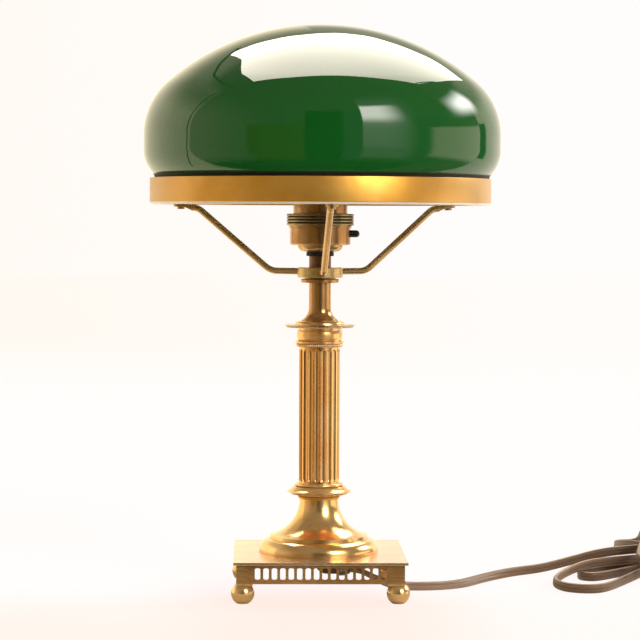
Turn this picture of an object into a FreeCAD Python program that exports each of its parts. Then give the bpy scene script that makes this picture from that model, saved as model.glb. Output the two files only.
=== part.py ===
import FreeCAD, Part
import math
import os
import re

import Sketcher

# A brass table lamp with a fluted column and a domed glass shade on a three-armed ring.
# Millimetres. The origin is on the floor under the middle of the square foot, +Z is up
# and the front of the lamp faces -Y.

doc = FreeCAD.newDocument("TableLamp")
sizes = doc.addObject("Spreadsheet::Sheet", "Sizes")
Vector = FreeCAD.Vector
ROOM = "Sizes."

DRIVING = [
    # The square foot: plate, pierced gallery, corner posts and ball feet.
    ("plateWidth", 120.0, "side of the square top plate"),
    ("plateThickness", 2.0, "thickness of the top plate"),
    ("plateEdge", 0.4, "rounding of the plate's edges"),
    ("galleryWidth", 115.5, "side of the pierced gallery, outside"),
    ("galleryHeight", 13.0, "height of the gallery"),
    ("galleryWall", 1.6, "thickness of the gallery's strip"),
    ("slotCount", 16, "slots in each side of the gallery"),
    ("slotPitch", 5.78, "from one slot to the next"),
    ("slotWidth", 3.85, "width of a slot"),
    ("slotHeight", 8.0, "height of a slot"),
    ("slotCorner", 1.3, "radius of a slot's corners"),
    ("slotRise", 6.9, "middle of a slot above the gallery's lower edge"),
    ("railHeight", 1.7, "height of the moulding along the gallery's lower edge"),
    ("railProud", 0.35, "how far that moulding stands out"),
    ("postWidth", 9.5, "side of a corner post inside the gallery"),
    ("postDrop", 1.3, "how far a post's pad shows below the gallery"),
    ("footWidth", 16.0, "diameter of a ball foot"),
    ("footHeight", 12.5, "height of a ball foot between its flats"),
    ("footMiddle", 7.0, "height of a ball's centre above the floor"),
    ("footPlace", 53.5, "from the lamp's axis to a foot, along each side"),
    ("studWidth", 4.0, "diameter of the stud between foot and post"),
    ("studInFoot", 6.0, "depth of the stud in the foot"),
    ("studInPost", 9.0, "depth of the stud in the post"),
    # The threaded tube that holds the stack together.
    ("tubeWidth", 10.0, "outside diameter of the tube"),
    ("tubeBore", 8.0, "bore of the tube, the wire way"),
    ("tubeInHolder", 5.5, "how far the tube reaches up into the lampholder"),
    ("looseFit", 0.15, "radial clearance of pieces that slide over the tube"),
    ("closeFit", 0.06, "radial clearance of a pin, stud or bar in its hole"),
    ("washerWidth", 24.0, "diameter of the washer under the plate"),
    ("washerThickness", 1.2, "thickness of the washer"),
    ("nutAcross", 14.0, "width of the nut across its flats"),
    ("nutHeight", 3.2, "height of the nut"),
    # The foot dome and the bead ring on its tip.
    ("domeRim", 84.0, "diameter of the dome's rim on the plate"),
    ("domeRimHeight", 1.8, "upright part of the rim"),
    ("domeStep", 70.4, "diameter at the top of the rim's quarter round"),
    ("domeStepHeight", 9.6, "height of the quarter round's top above the plate"),
    ("domeShoulder", 69.0, "diameter where the trumpet starts"),
    ("domeShoulderHeight", 12.0, "height of the trumpet's start above the plate"),
    ("domeTip", 27.4, "diameter of the trumpet's tip"),
    ("domeHeight", 37.4, "height of the dome above the plate"),
    ("domeWall", 1.8, "wall of the spun dome"),
    ("tipFlange", 29.6, "diameter of the flange on the dome's tip"),
    ("tipFlangeHeight", 2.0, "height of that flange"),
    ("footBeadRing", 1.6, "height of the bead row under the saucer"),
    # The saucer, the fluted column and its capital.
    ("saucerWidth", 45.3, "diameter of the saucer"),
    ("saucerUnder", 30.4, "diameter of the saucer's underside"),
    ("saucerUnderHeight", 1.4, "height of the saucer's edge above its underside"),
    ("saucerEdge", 0.8, "thickness of the saucer's edge"),
    ("saucerShoulder", 36.6, "diameter of the saucer where its hollow sweep ends"),
    ("saucerSweep", 8.0, "radius of that sweep"),
    ("saucerHeight", 7.8, "height of the saucer"),
    ("torusWidth", 34.0, "diameter of the round bead at the column's foot"),
    ("torusHeight", 2.4, "height of that bead"),
    ("columnWidth", 28.6, "diameter of the column"),
    ("columnHeight", 96.1, "length of the column"),
    ("columnBore", 22.4, "bore of the column"),
    ("fluteCount", 20, "flutes round the column"),
    ("fluteWidth", 3.5, "width of the round tool that cuts a flute"),
    ("fluteDepth", 1.3, "depth of a flute"),
    ("fluteEnd", 3.0, "plain column beyond each end of a flute"),
    ("capitalStep", 31.0, "diameter of the capital's lower step"),
    ("capitalStepHeight", 1.3, "height of that step"),
    ("beadWidth", 1.7, "diameter of a bead"),
    ("beadCountTop", 50, "beads round the capital"),
    ("beadCountFoot", 48, "beads round the dome's tip"),
    ("beadRingTop", 1.6, "height of the bead row on the capital"),
    ("capitalFlange", 34.5, "diameter of the capital's flange"),
    ("capitalFlangeHeight", 1.2, "thickness of that flange"),
    ("capitalBelly", 32.0, "widest diameter of the capital's collar"),
    ("capitalTop", 30.4, "diameter of the collar's upper end"),
    ("capitalHeight", 11.2, "height of flange and collar"),
    # The drip disc, the neck and the hub that carries the arms.
    ("discWidth", 50.0, "diameter of the milled disc"),
    ("discThickness", 1.7, "thickness of the disc's edge"),
    ("discNotches", 72, "notches of the milled edge"),
    ("discStep", 35.0, "diameter of the step on the disc"),
    ("discStepHeight", 2.5, "height of that step"),
    ("neckFoot", 26.0, "diameter of the neck's foot"),
    ("neckFootHeight", 0.7, "upright part of the neck's foot"),
    ("neckFlare", 8.8, "height of the neck's flare"),
    ("neckWidth", 15.6, "diameter of the neck"),
    ("neckHeight", 27.0, "height of the neck"),
    ("collarWidth", 27.1, "diameter of the collar on the neck"),
    ("collarHeight", 2.6, "height of that collar"),
    ("grooveWidth", 22.0, "diameter in the groove under the hub"),
    ("grooveHeight", 1.0, "height of the groove"),
    ("hubWidth", 32.3, "diameter of the hub"),
    ("hubHeight", 7.1, "height of the hub"),
    ("armDrop", 2.9, "middle of an arm below the hub's top"),
    ("armSocket", 6.0, "depth of an arm in the hub"),
    # The arms.
    ("armWidth", 4.7, "diameter of an arm's rod"),
    ("armTurn", 2.4, "degrees by which the front arm stands to the right"),
    ("armKneeReach", 39.2, "from the axis to the corner of an arm's lower bend"),
    ("armKneeRadius", 16.0, "radius of the lower bend"),
    ("armTopRadius", 11.0, "radius of the upper bend"),
    ("armTopBack", 4.8, "from the corner of the upper bend to the end of the round rod"),
    ("armFlare", 5.3, "from there to where the flat pad is full width"),
    ("padLength", 9.5, "from there to the pad's tip"),
    ("padInset", 2.0, "how far the pad's tip stays inside the ring's edge"),
    ("padWidth", 8.5, "width of the pad"),
    ("padThickness", 1.6, "thickness of the pad"),
    ("screwBack", 5.5, "from the pad's tip to an arm's screw"),
    ("screwWidth", 3.0, "diameter of that screw"),
    ("screwHead", 5.6, "diameter of its head"),
    ("screwHeadHeight", 1.7, "height of its head"),
    # The shade ring and the glass.
    ("ringBottom", 273.8, "height of the ring's seat above the floor"),
    ("ringWall", 1.25, "wall of the ring's band"),
    ("ringBand", 16.9, "height of the band"),
    ("seatThickness", 1.5, "thickness of the seat under the band"),
    ("seatInset", 0.7, "how far the seat's edge stands back from the band"),
    ("seatWidth", 13.0, "width of the seat, from the ring's outside inward"),
    ("shadeNeck", 235.0, "outside diameter of the glass neck, the standard fitter"),
    ("seatRecess", 0.2, "how far an arm screw stays below the seat"),
    ("neckFit", 1.25, "radial clearance between the glass neck and the band"),
    ("shadeBulge", 8.2, "how far the glass stands out beyond its neck"),
    ("neckLip", 0.5, "how far it stands out just above the band"),
    ("neckTurnHeight", 2.0, "height of that lip above the band"),
    ("bellyBottom", 20.0, "start of the glass's upright belly above the band"),
    ("bellyTop", 30.0, "end of that belly above the band"),
    ("shoulderRadius", 50.0, "radius of the shoulder"),
    ("crownRadius", 166.3, "radius of the crown"),
    ("glassWall", 3.0, "wall of the glass"),
    # The lampholder.
    ("spacerWidth", 15.6, "diameter of the sleeve under the holder"),
    ("spacerHeight", 8.1, "height of that sleeve"),
    ("gasketWidth", 19.4, "diameter of the black ring under the holder"),
    ("gasketHeight", 3.2, "height of that ring"),
    ("bowlWidth", 32.3, "diameter of the holder's bowl"),
    ("bowlHeight", 4.6, "height of the bowl"),
    ("capProud", 2.3, "how far the cap stands out past the skirt"),
    ("capHeight", 12.0, "height of the cap's upright wall and step"),
    ("capWall", 1.0, "wall of the holder's brass"),
    ("bandWidth", 44.4, "diameter of the plain band over the cap"),
    ("bandHeight", 1.5, "height of that band"),
    ("skirtWidth", 38.2, "diameter of the holder's skirt"),
    ("skirtHeight", 28.5, "height of the skirt, band included"),
    ("clampRingWidth", 47.7, "diameter of the threaded ring over its ridges"),
    ("clampRingHeight", 8.4, "height of that ring"),
    ("ridgeDepth", 0.9, "depth of a ridge"),
    ("insulatorHeight", 12.7, "height of the insulating block"),
    ("wireWell", 12.0, "diameter of the wire way in the block"),
    ("wireWellDepth", 2.2, "depth of that wire way"),
    ("terminalWidth", 3.0, "diameter of a terminal screw"),
    ("terminalHead", 4.6, "diameter of its head"),
    ("terminalLength", 5.0, "length of its shank"),
    ("terminalGap", 0.8, "gap between its head and the cap's wall"),
    ("shellWall", 0.5, "wall of the lamp's threaded shell"),
    ("shellHeight", 24.0, "height of the threaded shell"),
    ("contactWidth", 5.0, "width of the centre contact"),
    ("contactRise", 3.0, "height of the centre contact over the block"),
    ("contactSheet", 0.6, "thickness of the contact's strip"),
    ("barWidth", 5.1, "diameter of the switch bar"),
    ("barRise", 7.9, "middle of the switch bar above the cap's step"),
    ("barShows", 6.4, "how far the bar stands out when it is pushed to the right"),
    # The bulb.
    ("bulbThread", 26.2, "diameter of the bulb's threaded cap"),
    ("threadPitch", 3.6, "from one thread to the next"),
    ("threadDepth", 0.9, "depth of the thread"),
    ("shellFit", 0.12, "radial clearance between cap and shell"),
    ("tipGap", 0.1, "gap between the bulb's tip and the centre contact"),
    ("tipWidth", 9.0, "diameter of the bulb's tip contact"),
    ("tipHeight", 1.4, "height of the tip contact"),
    ("bulbWidth", 60.0, "diameter of the bulb"),
    ("bulbNeck", 25.0, "diameter of the bulb's neck"),
    ("bulbMiddle", 73.0, "height of the bulb's widest place above its tip"),
    ("bulbWall", 0.9, "wall of the bulb"),
    # The cord and its plug.
    ("cordWidth", 6.0, "diameter of the plain round tube that stands for the flat cord"),
    ("leadLevel", 15.5, "height of the lead under the plate"),
    ("leadBend", 6.0, "radius of the lead's bend below the tube"),
    ("leadExit", 22.0, "from the axis to where the lead leaves its saddle"),
    ("saddlePlace", 17.0, "from the axis to the middle of the saddle"),
    ("saddleWidth", 7.0, "width of the saddle's strap"),
    ("saddleSheet", 1.2, "thickness of the strap"),
    ("saddleTab", 8.2, "reach of each of the saddle's tabs beyond the cord"),
    ("saddleScrew", 3.0, "diameter of a saddle screw"),
    ("hankPlace", 262.0, "from the lamp's axis to the hank's tie, to the right"),
    ("hankBack", 99.5, "from the lamp's axis to the hank's tie, to the back"),
    ("hankLean", 18.0, "degrees by which the hank leans to the back"),
    ("hankPitch", 7.1, "from one strand in the tie to the next"),
    ("hankGrip", 9.0, "straight cord on each side of the tie"),
    ("tieWidth", 5.0, "width of the tie's band"),
    ("tieSheet", 0.8, "thickness of the band"),
    ("tieFit", 0.3, "clearance between the strands and the band"),
    ("plugCollar", 22.0, "length of the plug's tapered collar"),
    ("plugCollarWidth", 15.0, "width of the plug at the end of its collar"),
    ("plugShoulder", 9.0, "length of the plug's shoulder"),
    ("plugLength", 34.0, "length of the plug's body with its shoulder"),
    ("plugBodyWidth", 35.3, "width of the plug"),
    ("plugThickness", 13.7, "thickness of the plug"),
    ("plugPinRoot", 8.0, "depth of a pin in the plug"),
    ("plugRootWidth", 3.0, "diameter of a pin's root in the plug"),
    ("plugPinWidth", 4.0, "diameter of a plug pin"),
    ("plugPinLength", 19.0, "length of a plug pin"),
    ("plugPinSpacing", 19.0, "from one plug pin to the other"),
]

PLACES = [
    # Heights and radii that follow from the sizes above.
    ("postBottom", "footHeight"),
    ("galleryBottom", "postBottom + postDrop"),
    ("plateBottom", "galleryBottom + galleryHeight"),
    ("plateTop", "plateBottom + plateThickness"),
    ("galleryInside", "galleryWidth / 2 - galleryWall"),
    ("boreOver", "tubeWidth / 2 + looseFit"),
    ("washerBottom", "plateBottom - washerThickness"),
    ("nutBottom", "washerBottom - nutHeight"),
    ("domeTop", "plateTop + domeHeight"),
    ("tipFlangeTop", "domeTop + tipFlangeHeight"),
    ("saucerBottom", "tipFlangeTop + footBeadRing"),
    ("saucerTop", "saucerBottom + saucerHeight"),
    ("columnTop", "saucerTop + columnHeight"),
    ("beadRowBottom", "columnTop + capitalStepHeight"),
    ("capitalBottom", "beadRowBottom + beadRingTop"),
    ("discBottom", "capitalBottom + capitalHeight"),
    ("discTop", "discBottom + discThickness"),
    ("neckBottom", "discTop + discStepHeight"),
    ("neckTop", "neckBottom + neckHeight"),
    ("collarTop", "neckTop + collarHeight"),
    ("hubBottom", "collarTop + grooveHeight"),
    ("hubTop", "hubBottom + hubHeight"),
    ("armLevel", "hubTop - armDrop"),
    ("ringWidth", "shadeNeck + 2 * (neckFit + ringWall)"),
    ("seatBore", "ringWidth - 2 * seatWidth"),
    ("padReach", "ringWidth / 2 - padInset"),
    ("padStart", "padReach - padLength"),
    ("screwPlace", "padReach - screwBack"),
    ("armRodEnd", "padStart - armFlare"),
    ("armTopReach", "armRodEnd - armTopBack"),
    ("neckTurn", "shadeNeck / 2 + neckLip"),
    ("shadeWidth", "shadeNeck + 2 * shadeBulge"),
    ("armTopLevel", "ringBottom - armWidth / 2"),
    ("seatTop", "ringBottom + seatThickness"),
    ("bandTop", "seatTop + ringBand"),
    ("shadeBottom", "seatTop"),
    ("gasketBottom", "hubTop + spacerHeight"),
    ("holderBottom", "gasketBottom + gasketHeight"),
    ("capStep", "holderBottom + bowlHeight"),
    ("capTop", "capStep + capHeight"),
    ("barHeight", "capStep + barRise"),
    ("tubeTop", "holderBottom + tubeInHolder"),
    ("capWidth", "skirtWidth + 2 * capProud"),
    ("insulatorBottom", "capStep + capWall"),
    ("insulatorTop", "insulatorBottom + insulatorHeight"),
    ("bandOver", "capTop + bandHeight"),
    ("tieLevel", "tieSheet + tieFit + cordWidth / 2"),
    ("bulbTip", "insulatorTop + contactRise + tipGap"),
    ("shellBore", "bulbThread / 2 + shellFit"),
]

for row, (alias, amount, words) in enumerate(DRIVING, start=1):
    sizes.set(f"A{row}", words)
    sizes.set(f"B{row}", str(amount))
    sizes.setAlias(f"B{row}", alias)
for row, (alias, formula) in enumerate(PLACES, start=len(DRIVING) + 1):
    sizes.set(f"A{row}", formula)
    sizes.set(f"B{row}", "=" + formula)
    sizes.setAlias(f"B{row}", alias)
doc.recompute()
aliases = {entry[0] for entry in DRIVING + PLACES}
parts = []


def bound(text):
    """The expression with each size named as the sheet's own cell."""
    return re.sub(r"[A-Za-z]\w*", lambda word: ROOM + word[0] if word[0] in aliases else word[0], text)


def number(text):
    """What an expression comes to now."""
    return float(sizes.evalExpression(bound(text)))


def new_body(name):
    body = doc.addObject("PartDesign::Body", name)
    body.Label = name
    parts.append(body)
    return body


def origin_feature(body, role):
    return [feature for feature in body.Origin.OriginFeatures if feature.Role == role][0]


def new_sketch(body, plane, raised=None):
    """A sketch on one of the body's own planes, raised off it by an expression if one is given."""
    sketch = body.newObject("Sketcher::SketchObject", body.Label + "_sketch")
    sketch.AttachmentSupport = (origin_feature(body, plane), "")
    sketch.MapMode = "FlatFace"
    if raised:
        sketch.setExpression("AttachmentOffset.Base.z", bound(raised))
    return sketch


def outline(sketch, corners):
    """Draws a closed outline. A corner is (x, y) or, where an arc leaves it, (x, y, radius), as
    expressions. A radius with a minus sign turns the arc clockwise. Every corner and radius is bound."""
    first = sketch.GeometryCount
    spots = [Vector(number(corner[0]), number(corner[1]), 0) for corner in corners]
    edges, ends = [], []
    for place, corner in enumerate(corners):
        here, there = spots[place], spots[(place + 1) % len(spots)]
        if len(corner) == 2:
            edges.append(Part.LineSegment(here, there))
            ends.append((1, 2))
            continue
        radius = number(corner[2])
        chord = there - here
        rise = math.sqrt(max(radius ** 2 - (chord.Length / 2) ** 2, 0.0))
        left = Vector(-chord.y, chord.x, 0).normalize()
        centre = (here + there) * 0.5 + left * math.copysign(rise, radius)
        begin, finish = (here, there) if radius > 0 else (there, here)
        angles = [math.atan2(spot.y - centre.y, spot.x - centre.x) for spot in (begin, finish)]
        circle = Part.Circle(centre, Vector(0, 0, 1), abs(radius))
        edges.append(Part.ArcOfCircle(circle, angles[0], angles[1]))
        ends.append((1, 2) if radius > 0 else (2, 1))
    sketch.addGeometry(edges, False)
    rules, formulas = [], []
    for place, corner in enumerate(corners):
        follower = (place + 1) % len(corners)
        rules.append(Sketcher.Constraint(
            "Coincident", first + place, ends[place][1], first + follower, ends[follower][0]))
        formulas.append(None)
        for axis, text, value in (("X", corner[0], spots[place].x), ("Y", corner[1], spots[place].y)):
            rules.append(Sketcher.Constraint(
                "Distance" + axis, -1, 1, first + place, ends[place][0], value))
            formulas.append(text)
        if len(corner) == 3:
            rules.append(Sketcher.Constraint("Radius", first + place, abs(number(corner[2]))))
            formulas.append(corner[2].lstrip("-"))
    start = sketch.ConstraintCount
    sketch.addConstraint(rules)
    for place, text in enumerate(formulas):
        if text:
            sketch.setExpression(f"Constraints[{start + place}]", bound(text))


def circle(sketch, x, y, radius):
    """A round hole or rod in a sketch, with its place and radius as expressions."""
    first, start = sketch.GeometryCount, sketch.ConstraintCount
    middle = Vector(number(x), number(y), 0)
    sketch.addGeometry(Part.Circle(middle, Vector(0, 0, 1), number(radius)), False)
    sketch.addConstraint([
        Sketcher.Constraint("DistanceX", -1, 1, first, 3, middle.x),
        Sketcher.Constraint("DistanceY", -1, 1, first, 3, middle.y),
        Sketcher.Constraint("Radius", first, number(radius)),
    ])
    for place, text in enumerate((x, y, radius)):
        sketch.setExpression(f"Constraints[{start + place}]", bound(text))


def slot(sketch, x, y, long, wide):
    """A level slot with round ends, given by its middle, its whole length and its width."""
    half, straight = f"({wide}) / 2", f"(({long}) - ({wide})) / 2"
    outline(sketch, [
        (f"{x} - {straight}", f"{y} - {half}"), (f"{x} + {straight}", f"{y} - {half}", half),
        (f"{x} + {straight} + {half}", f"{y}", half), (f"{x} + {straight}", f"{y} + {half}"),
        (f"{x} - {straight}", f"{y} + {half}", half), (f"{x} - {straight} - {half}", f"{y}", half),
    ])


def window(sketch, x, y, wide, high, corner):
    """A window with rounded corners, given by its middle, its size and its corners' radius."""
    left, right = f"{x} - ({wide}) / 2", f"{x} + ({wide}) / 2"
    low, top = f"{y} - ({high}) / 2", f"{y} + ({high}) / 2"
    outline(sketch, [
        (f"{left} + {corner}", low), (f"{right} - {corner}", low, corner),
        (right, f"{low} + {corner}"), (right, f"{top} - {corner}", corner),
        (f"{right} - {corner}", top), (f"{left} + {corner}", top, corner),
        (left, f"{top} - {corner}"), (left, f"{low} + {corner}", corner),
    ])


def revolve(body, sketch, kind="Revolution", axis="V_Axis"):
    turn = body.newObject("PartDesign::" + kind, body.Label + "_turn")
    turn.Profile = sketch
    turn.ReferenceAxis = (sketch, [axis])
    turn.Angle = 360
    return turn


def turned(name, corners):
    """A piece turned round the lamp's axis. The corners are (radius, height)."""
    body = new_body(name)
    sketch = new_sketch(body, "XZ_Plane")
    outline(sketch, corners)
    revolve(body, sketch)
    return body


def extrude(body, sketch, length, kind="Pad", both_ways=False, reverse=False):
    pad = body.newObject("PartDesign::" + kind, body.Label + "_" + kind.lower())
    pad.Profile = sketch
    pad.setExpression("Length", bound(length))
    pad.Midplane = both_ways
    pad.Reversed = reverse
    return pad


def around(body, feature, count):
    """Repeats a feature round the lamp's axis."""
    pattern = body.newObject("PartDesign::PolarPattern", body.Label + "_round")
    pattern.Originals = [feature]
    pattern.Axis = (origin_feature(body, "Z_Axis"), [""])
    pattern.Angle = 360
    pattern.setExpression("Occurrences", bound(count))
    body.Tip = pattern
    return pattern


def place(body, x="0", y="0", z="0", turn=0.0):
    """Puts a body where its expressions say, turned about the vertical by degrees."""
    body.Placement = FreeCAD.Placement(Vector(0, 0, 0), FreeCAD.Rotation(Vector(0, 0, 1), turn))
    for axis, text in (("x", x), ("y", y), ("z", z)):
        body.setExpression("Placement.Base." + axis, bound(text))


def upright_arc(across, up):
    """Radius of an arc that starts upright and ends that far across and up."""
    return f"((({across})^2 + ({up})^2) / (2 * ({across})))"


def build_plate():
    body = new_body("base_plate")
    sketch = new_sketch(body, "XY_Plane", "plateBottom")
    half = "plateWidth / 2"
    outline(sketch, [(f"-{half}", f"-{half}"), (half, f"-{half}"), (half, half), (f"-{half}", half)])
    circle(sketch, "0", "0", "boreOver")
    spot = "(cordWidth / 2 + (saddleSheet + saddleTab) / 2)"
    for side in (spot, "-" + spot):
        circle(sketch, "saddlePlace", side, "saddleScrew / 2 + closeFit")
    plate = extrude(body, sketch, "plateThickness")
    doc.recompute()
    edges = []
    for count, edge in enumerate(plate.Shape.Edges, start=1):
        if edge.Length > number("plateWidth") * 0.9:
            edges.append(f"Edge{count}")
    rounding = body.newObject("PartDesign::Fillet", "base_plate_edge")
    rounding.Base = (plate, edges)
    rounding.setExpression("Radius", bound("plateEdge"))


def build_gallery():
    """Four pierced strips, mitred at the corners of the square."""
    for side, (name, turn) in enumerate((("front", 0), ("right", 90), ("back", 180), ("left", 270))):
        body = new_body("gallery_" + name)
        strip = new_sketch(body, "XY_Plane", "galleryBottom")
        outer, inner = "galleryWidth / 2", "galleryInside"
        outline(strip, [(f"-{outer}", f"-{outer}"), (outer, f"-{outer}"),
                        (inner, f"-{inner}"), (f"-{inner}", f"-{inner}")])
        extrude(body, strip, "galleryHeight")
        rail = new_sketch(body, "XY_Plane", "galleryBottom")
        proud = "(galleryWidth / 2 + railProud)"
        outline(rail, [(f"-{proud}", f"-{proud}"), (proud, f"-{proud}"),
                       (inner, f"-{inner}"), (f"-{inner}", f"-{inner}")])
        extrude(body, rail, "railHeight")
        hole = new_sketch(body, "XZ_Plane", "galleryWidth / 2 + railProud")
        window(hole, "-slotPitch * (slotCount - 1) / 2", "galleryBottom + slotRise",
               "slotWidth", "slotHeight", "slotCorner")
        cut = extrude(body, hole, "4 * (galleryWall + railProud)", "Pocket", both_ways=True)
        row = body.newObject("PartDesign::LinearPattern", body.Label + "_row")
        row.Originals = [cut]
        row.Direction = (hole, ["H_Axis"])
        row.setExpression("Length", bound("slotPitch * (slotCount - 1)"))
        row.setExpression("Occurrences", bound("slotCount"))
        body.Tip = row
        place(body, turn=turn)


def build_posts_and_feet():
    """A post and a ball foot at each corner, joined by a stud."""
    corners = (("front_left", -1, -1), ("front_right", 1, -1), ("back_right", 1, 1), ("back_left", -1, 1))
    for name, x, y in corners:
        post = new_body("corner_post_" + name)
        across, along = ("-" if x < 0 else ""), ("-" if y < 0 else "")
        for bottom, height, outer in (("postBottom", "postDrop", "galleryWidth / 2"),
                                      ("galleryBottom", "galleryHeight", "galleryInside")):
            pad = new_sketch(post, "XY_Plane", bottom)
            inner = "(galleryInside - postWidth)"
            reach = f"({outer})"
            outline(pad, [(across + inner, along + inner), (across + reach, along + inner),
                          (across + reach, along + reach), (across + inner, along + reach)])
            extrude(post, pad, height)
        hole = new_sketch(post, "XY_Plane", "postBottom")
        circle(hole, across + "footPlace", along + "footPlace", "studWidth / 2 + closeFit")
        extrude(post, hole, "studInPost + closeFit", "Pocket", reverse=True)

        foot = turned("foot_" + name, [
            ("0", "0"),
            ("sqrt((footWidth / 2)^2 - footMiddle^2)", "0", "footWidth / 2"),
            ("sqrt((footWidth / 2)^2 - (footHeight - footMiddle)^2)", "footHeight"),
            ("studWidth / 2 + closeFit", "footHeight"),
            ("studWidth / 2 + closeFit", "footHeight - studInFoot - closeFit"),
            ("0", "footHeight - studInFoot - closeFit"),
        ])
        place(foot, across + "footPlace", along + "footPlace")

    studs = new_body("foot_studs")
    sketch = new_sketch(studs, "XY_Plane", "footHeight - studInFoot")
    for x in ("-footPlace", "footPlace"):
        for y in ("-footPlace", "footPlace"):
            circle(sketch, x, y, "studWidth / 2")
    extrude(studs, sketch, "studInFoot + studInPost")


def build_tube():
    turned("lamp_tube", [("tubeBore / 2", "nutBottom"), ("tubeWidth / 2", "nutBottom"),
                         ("tubeWidth / 2", "tubeTop"), ("tubeBore / 2", "tubeTop")])
    turned("base_washer", [("boreOver", "washerBottom"), ("washerWidth / 2", "washerBottom"),
                           ("washerWidth / 2", "plateBottom"), ("boreOver", "plateBottom")])
    nut = new_body("base_nut")
    sketch = new_sketch(nut, "XY_Plane", "nutBottom")
    corners = []
    for side in range(6):
        turn = f"{60 * side} deg"
        corners.append((f"nutAcross / sqrt(3) * cos({turn})", f"nutAcross / sqrt(3) * sin({turn})"))
    outline(sketch, corners)
    circle(sketch, "0", "0", "tubeWidth / 2")
    extrude(nut, sketch, "nutHeight")


def build_dome():
    """The spun foot dome: a quarter round, a step and a trumpet, hollow underneath."""
    rim, step, shoulder, tip = "domeRim / 2", "domeStep / 2", "domeShoulder / 2", "domeTip / 2"
    low = "plateTop + domeRimHeight"
    swell = upright_arc(f"{rim} - {step}", "domeStepHeight - domeRimHeight")
    trumpet = upright_arc(f"{shoulder} - {tip}", "domeHeight - domeShoulderHeight")
    ring = "(domeShoulder / 2 - domeWall)"
    inside = f"({tip} - domeWall)"
    hollow = upright_arc(f"{ring} - {inside}", "domeHeight - domeShoulderHeight")
    turned("base_dome", [
        (f"{rim} - domeWall", "plateTop"),
        (rim, "plateTop"),
        (rim, low, swell),
        (step, "plateTop + domeStepHeight"),
        (shoulder, "plateTop + domeStepHeight"),
        (shoulder, "plateTop + domeShoulderHeight", "-" + trumpet),
        (tip, "domeTop"),
        (inside, "domeTop"),
        (inside, "domeTop - domeWall", hollow),
        (ring, "plateTop + domeShoulderHeight - domeWall"),
        (ring, "plateTop + domeStepHeight - domeWall"),
        (f"{rim} - domeWall", f"{low} - domeWall / 2"),
    ])


def bead_row(root, bottom, top):
    """The rounded section of a bead row, as corners of a turned outline."""
    crest, third = f"{root} + beadWidth / 2", f"({top} - {bottom}) / 3"
    return [(root, bottom), (f"{root} + beadWidth / 4", bottom), (crest, f"{bottom} + {third}"),
            (crest, f"{top} - {third}"), (f"{root} + beadWidth / 4", top), (root, top)]


def part_beads(body, root, bottom, height, count):
    """Parts a bead row into its beads with V notches."""
    notch = new_sketch(body, "XY_Plane", bottom)
    outline(notch, [(f"{root} + beadWidth / 8", "0"), (f"{root} + beadWidth", "-beadWidth / 2.4"),
                    (f"{root} + beadWidth", "beadWidth / 2.4")])
    around(body, extrude(body, notch, height, "Pocket", reverse=True), count)


def build_column():
    tip = turned("foot_bead_ring", [
        ("boreOver", "domeTop"),
        ("tipFlange / 2 - 1.2", "domeTop"),
        ("tipFlange / 2", "domeTop + tipFlangeHeight / 2"),
        ("tipFlange / 2", "tipFlangeTop"),
        *bead_row("tipFlange / 2 - 0.5", "tipFlangeTop", "saucerBottom"),
        ("boreOver", "saucerBottom"),
    ])
    part_beads(tip, "tipFlange / 2 - 0.5", "tipFlangeTop", "footBeadRing", "beadCountFoot")

    edge = "saucerBottom + saucerUnderHeight"
    torus = "(saucerTop - torusHeight)"
    neck = "(torusWidth / 2 - torusHeight / 2)"
    turned("saucer", [
        ("boreOver", "saucerBottom"),
        ("saucerUnder / 2", "saucerBottom"),
        ("saucerWidth / 2", edge),
        ("saucerWidth / 2", f"{edge} + saucerEdge", "-saucerSweep"),
        ("saucerShoulder / 2", torus),
        (neck, torus, "torusHeight / 2"),
        ("torusWidth / 2", f"{torus} + torusHeight / 2", "torusHeight / 2"),
        (neck, "saucerTop"),
        ("boreOver", "saucerTop"),
    ])

    column = turned("fluted_column", [
        ("columnBore / 2", "saucerTop"), ("columnWidth / 2", "saucerTop"),
        ("columnWidth / 2", "columnTop"), ("columnBore / 2", "columnTop"),
    ])
    flute = new_sketch(column, "XZ_Plane")
    tool = "fluteWidth / 2"
    centre = f"(columnWidth / 2 + {tool} - fluteDepth)"
    low, high = f"(saucerTop + fluteEnd + {tool})", f"(columnTop - fluteEnd - {tool})"
    outline(flute, [(centre, f"{low} - {tool}"), (centre, f"{high} + {tool}"),
                    (f"{centre} - {tool}", high), (f"{centre} - {tool}", low)])
    cut = revolve(column, flute, "Groove", "Edge1")
    around(column, cut, "fluteCount")

    ring = turned("capital_bead_ring", [
        ("boreOver", "columnTop"),
        ("capitalStep / 2 - 0.5", "columnTop"),
        ("capitalStep / 2", "columnTop + 0.5"),
        ("capitalStep / 2", "beadRowBottom"),
        *bead_row("capitalStep / 2 - 0.3", "beadRowBottom", "capitalBottom"),
        ("boreOver", "capitalBottom"),
    ])
    part_beads(ring, "capitalStep / 2 - 0.3", "beadRowBottom", "beadRingTop", "beadCountTop")

    flange = "capitalBottom + capitalFlangeHeight"
    turned("capital", [
        ("boreOver", "capitalBottom"),
        ("capitalFlange / 2", "capitalBottom"),
        ("capitalFlange / 2", flange),
        ("capitalBelly / 2 - 0.8", flange, "(capitalHeight - capitalFlangeHeight) * 0.95"),
        ("capitalTop / 2 + 0.6", "discBottom - 2.4"),
        ("capitalTop / 2", "discBottom - 2.4"),
        ("capitalTop / 2", "discBottom"),
        ("boreOver", "discBottom"),
    ])


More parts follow.
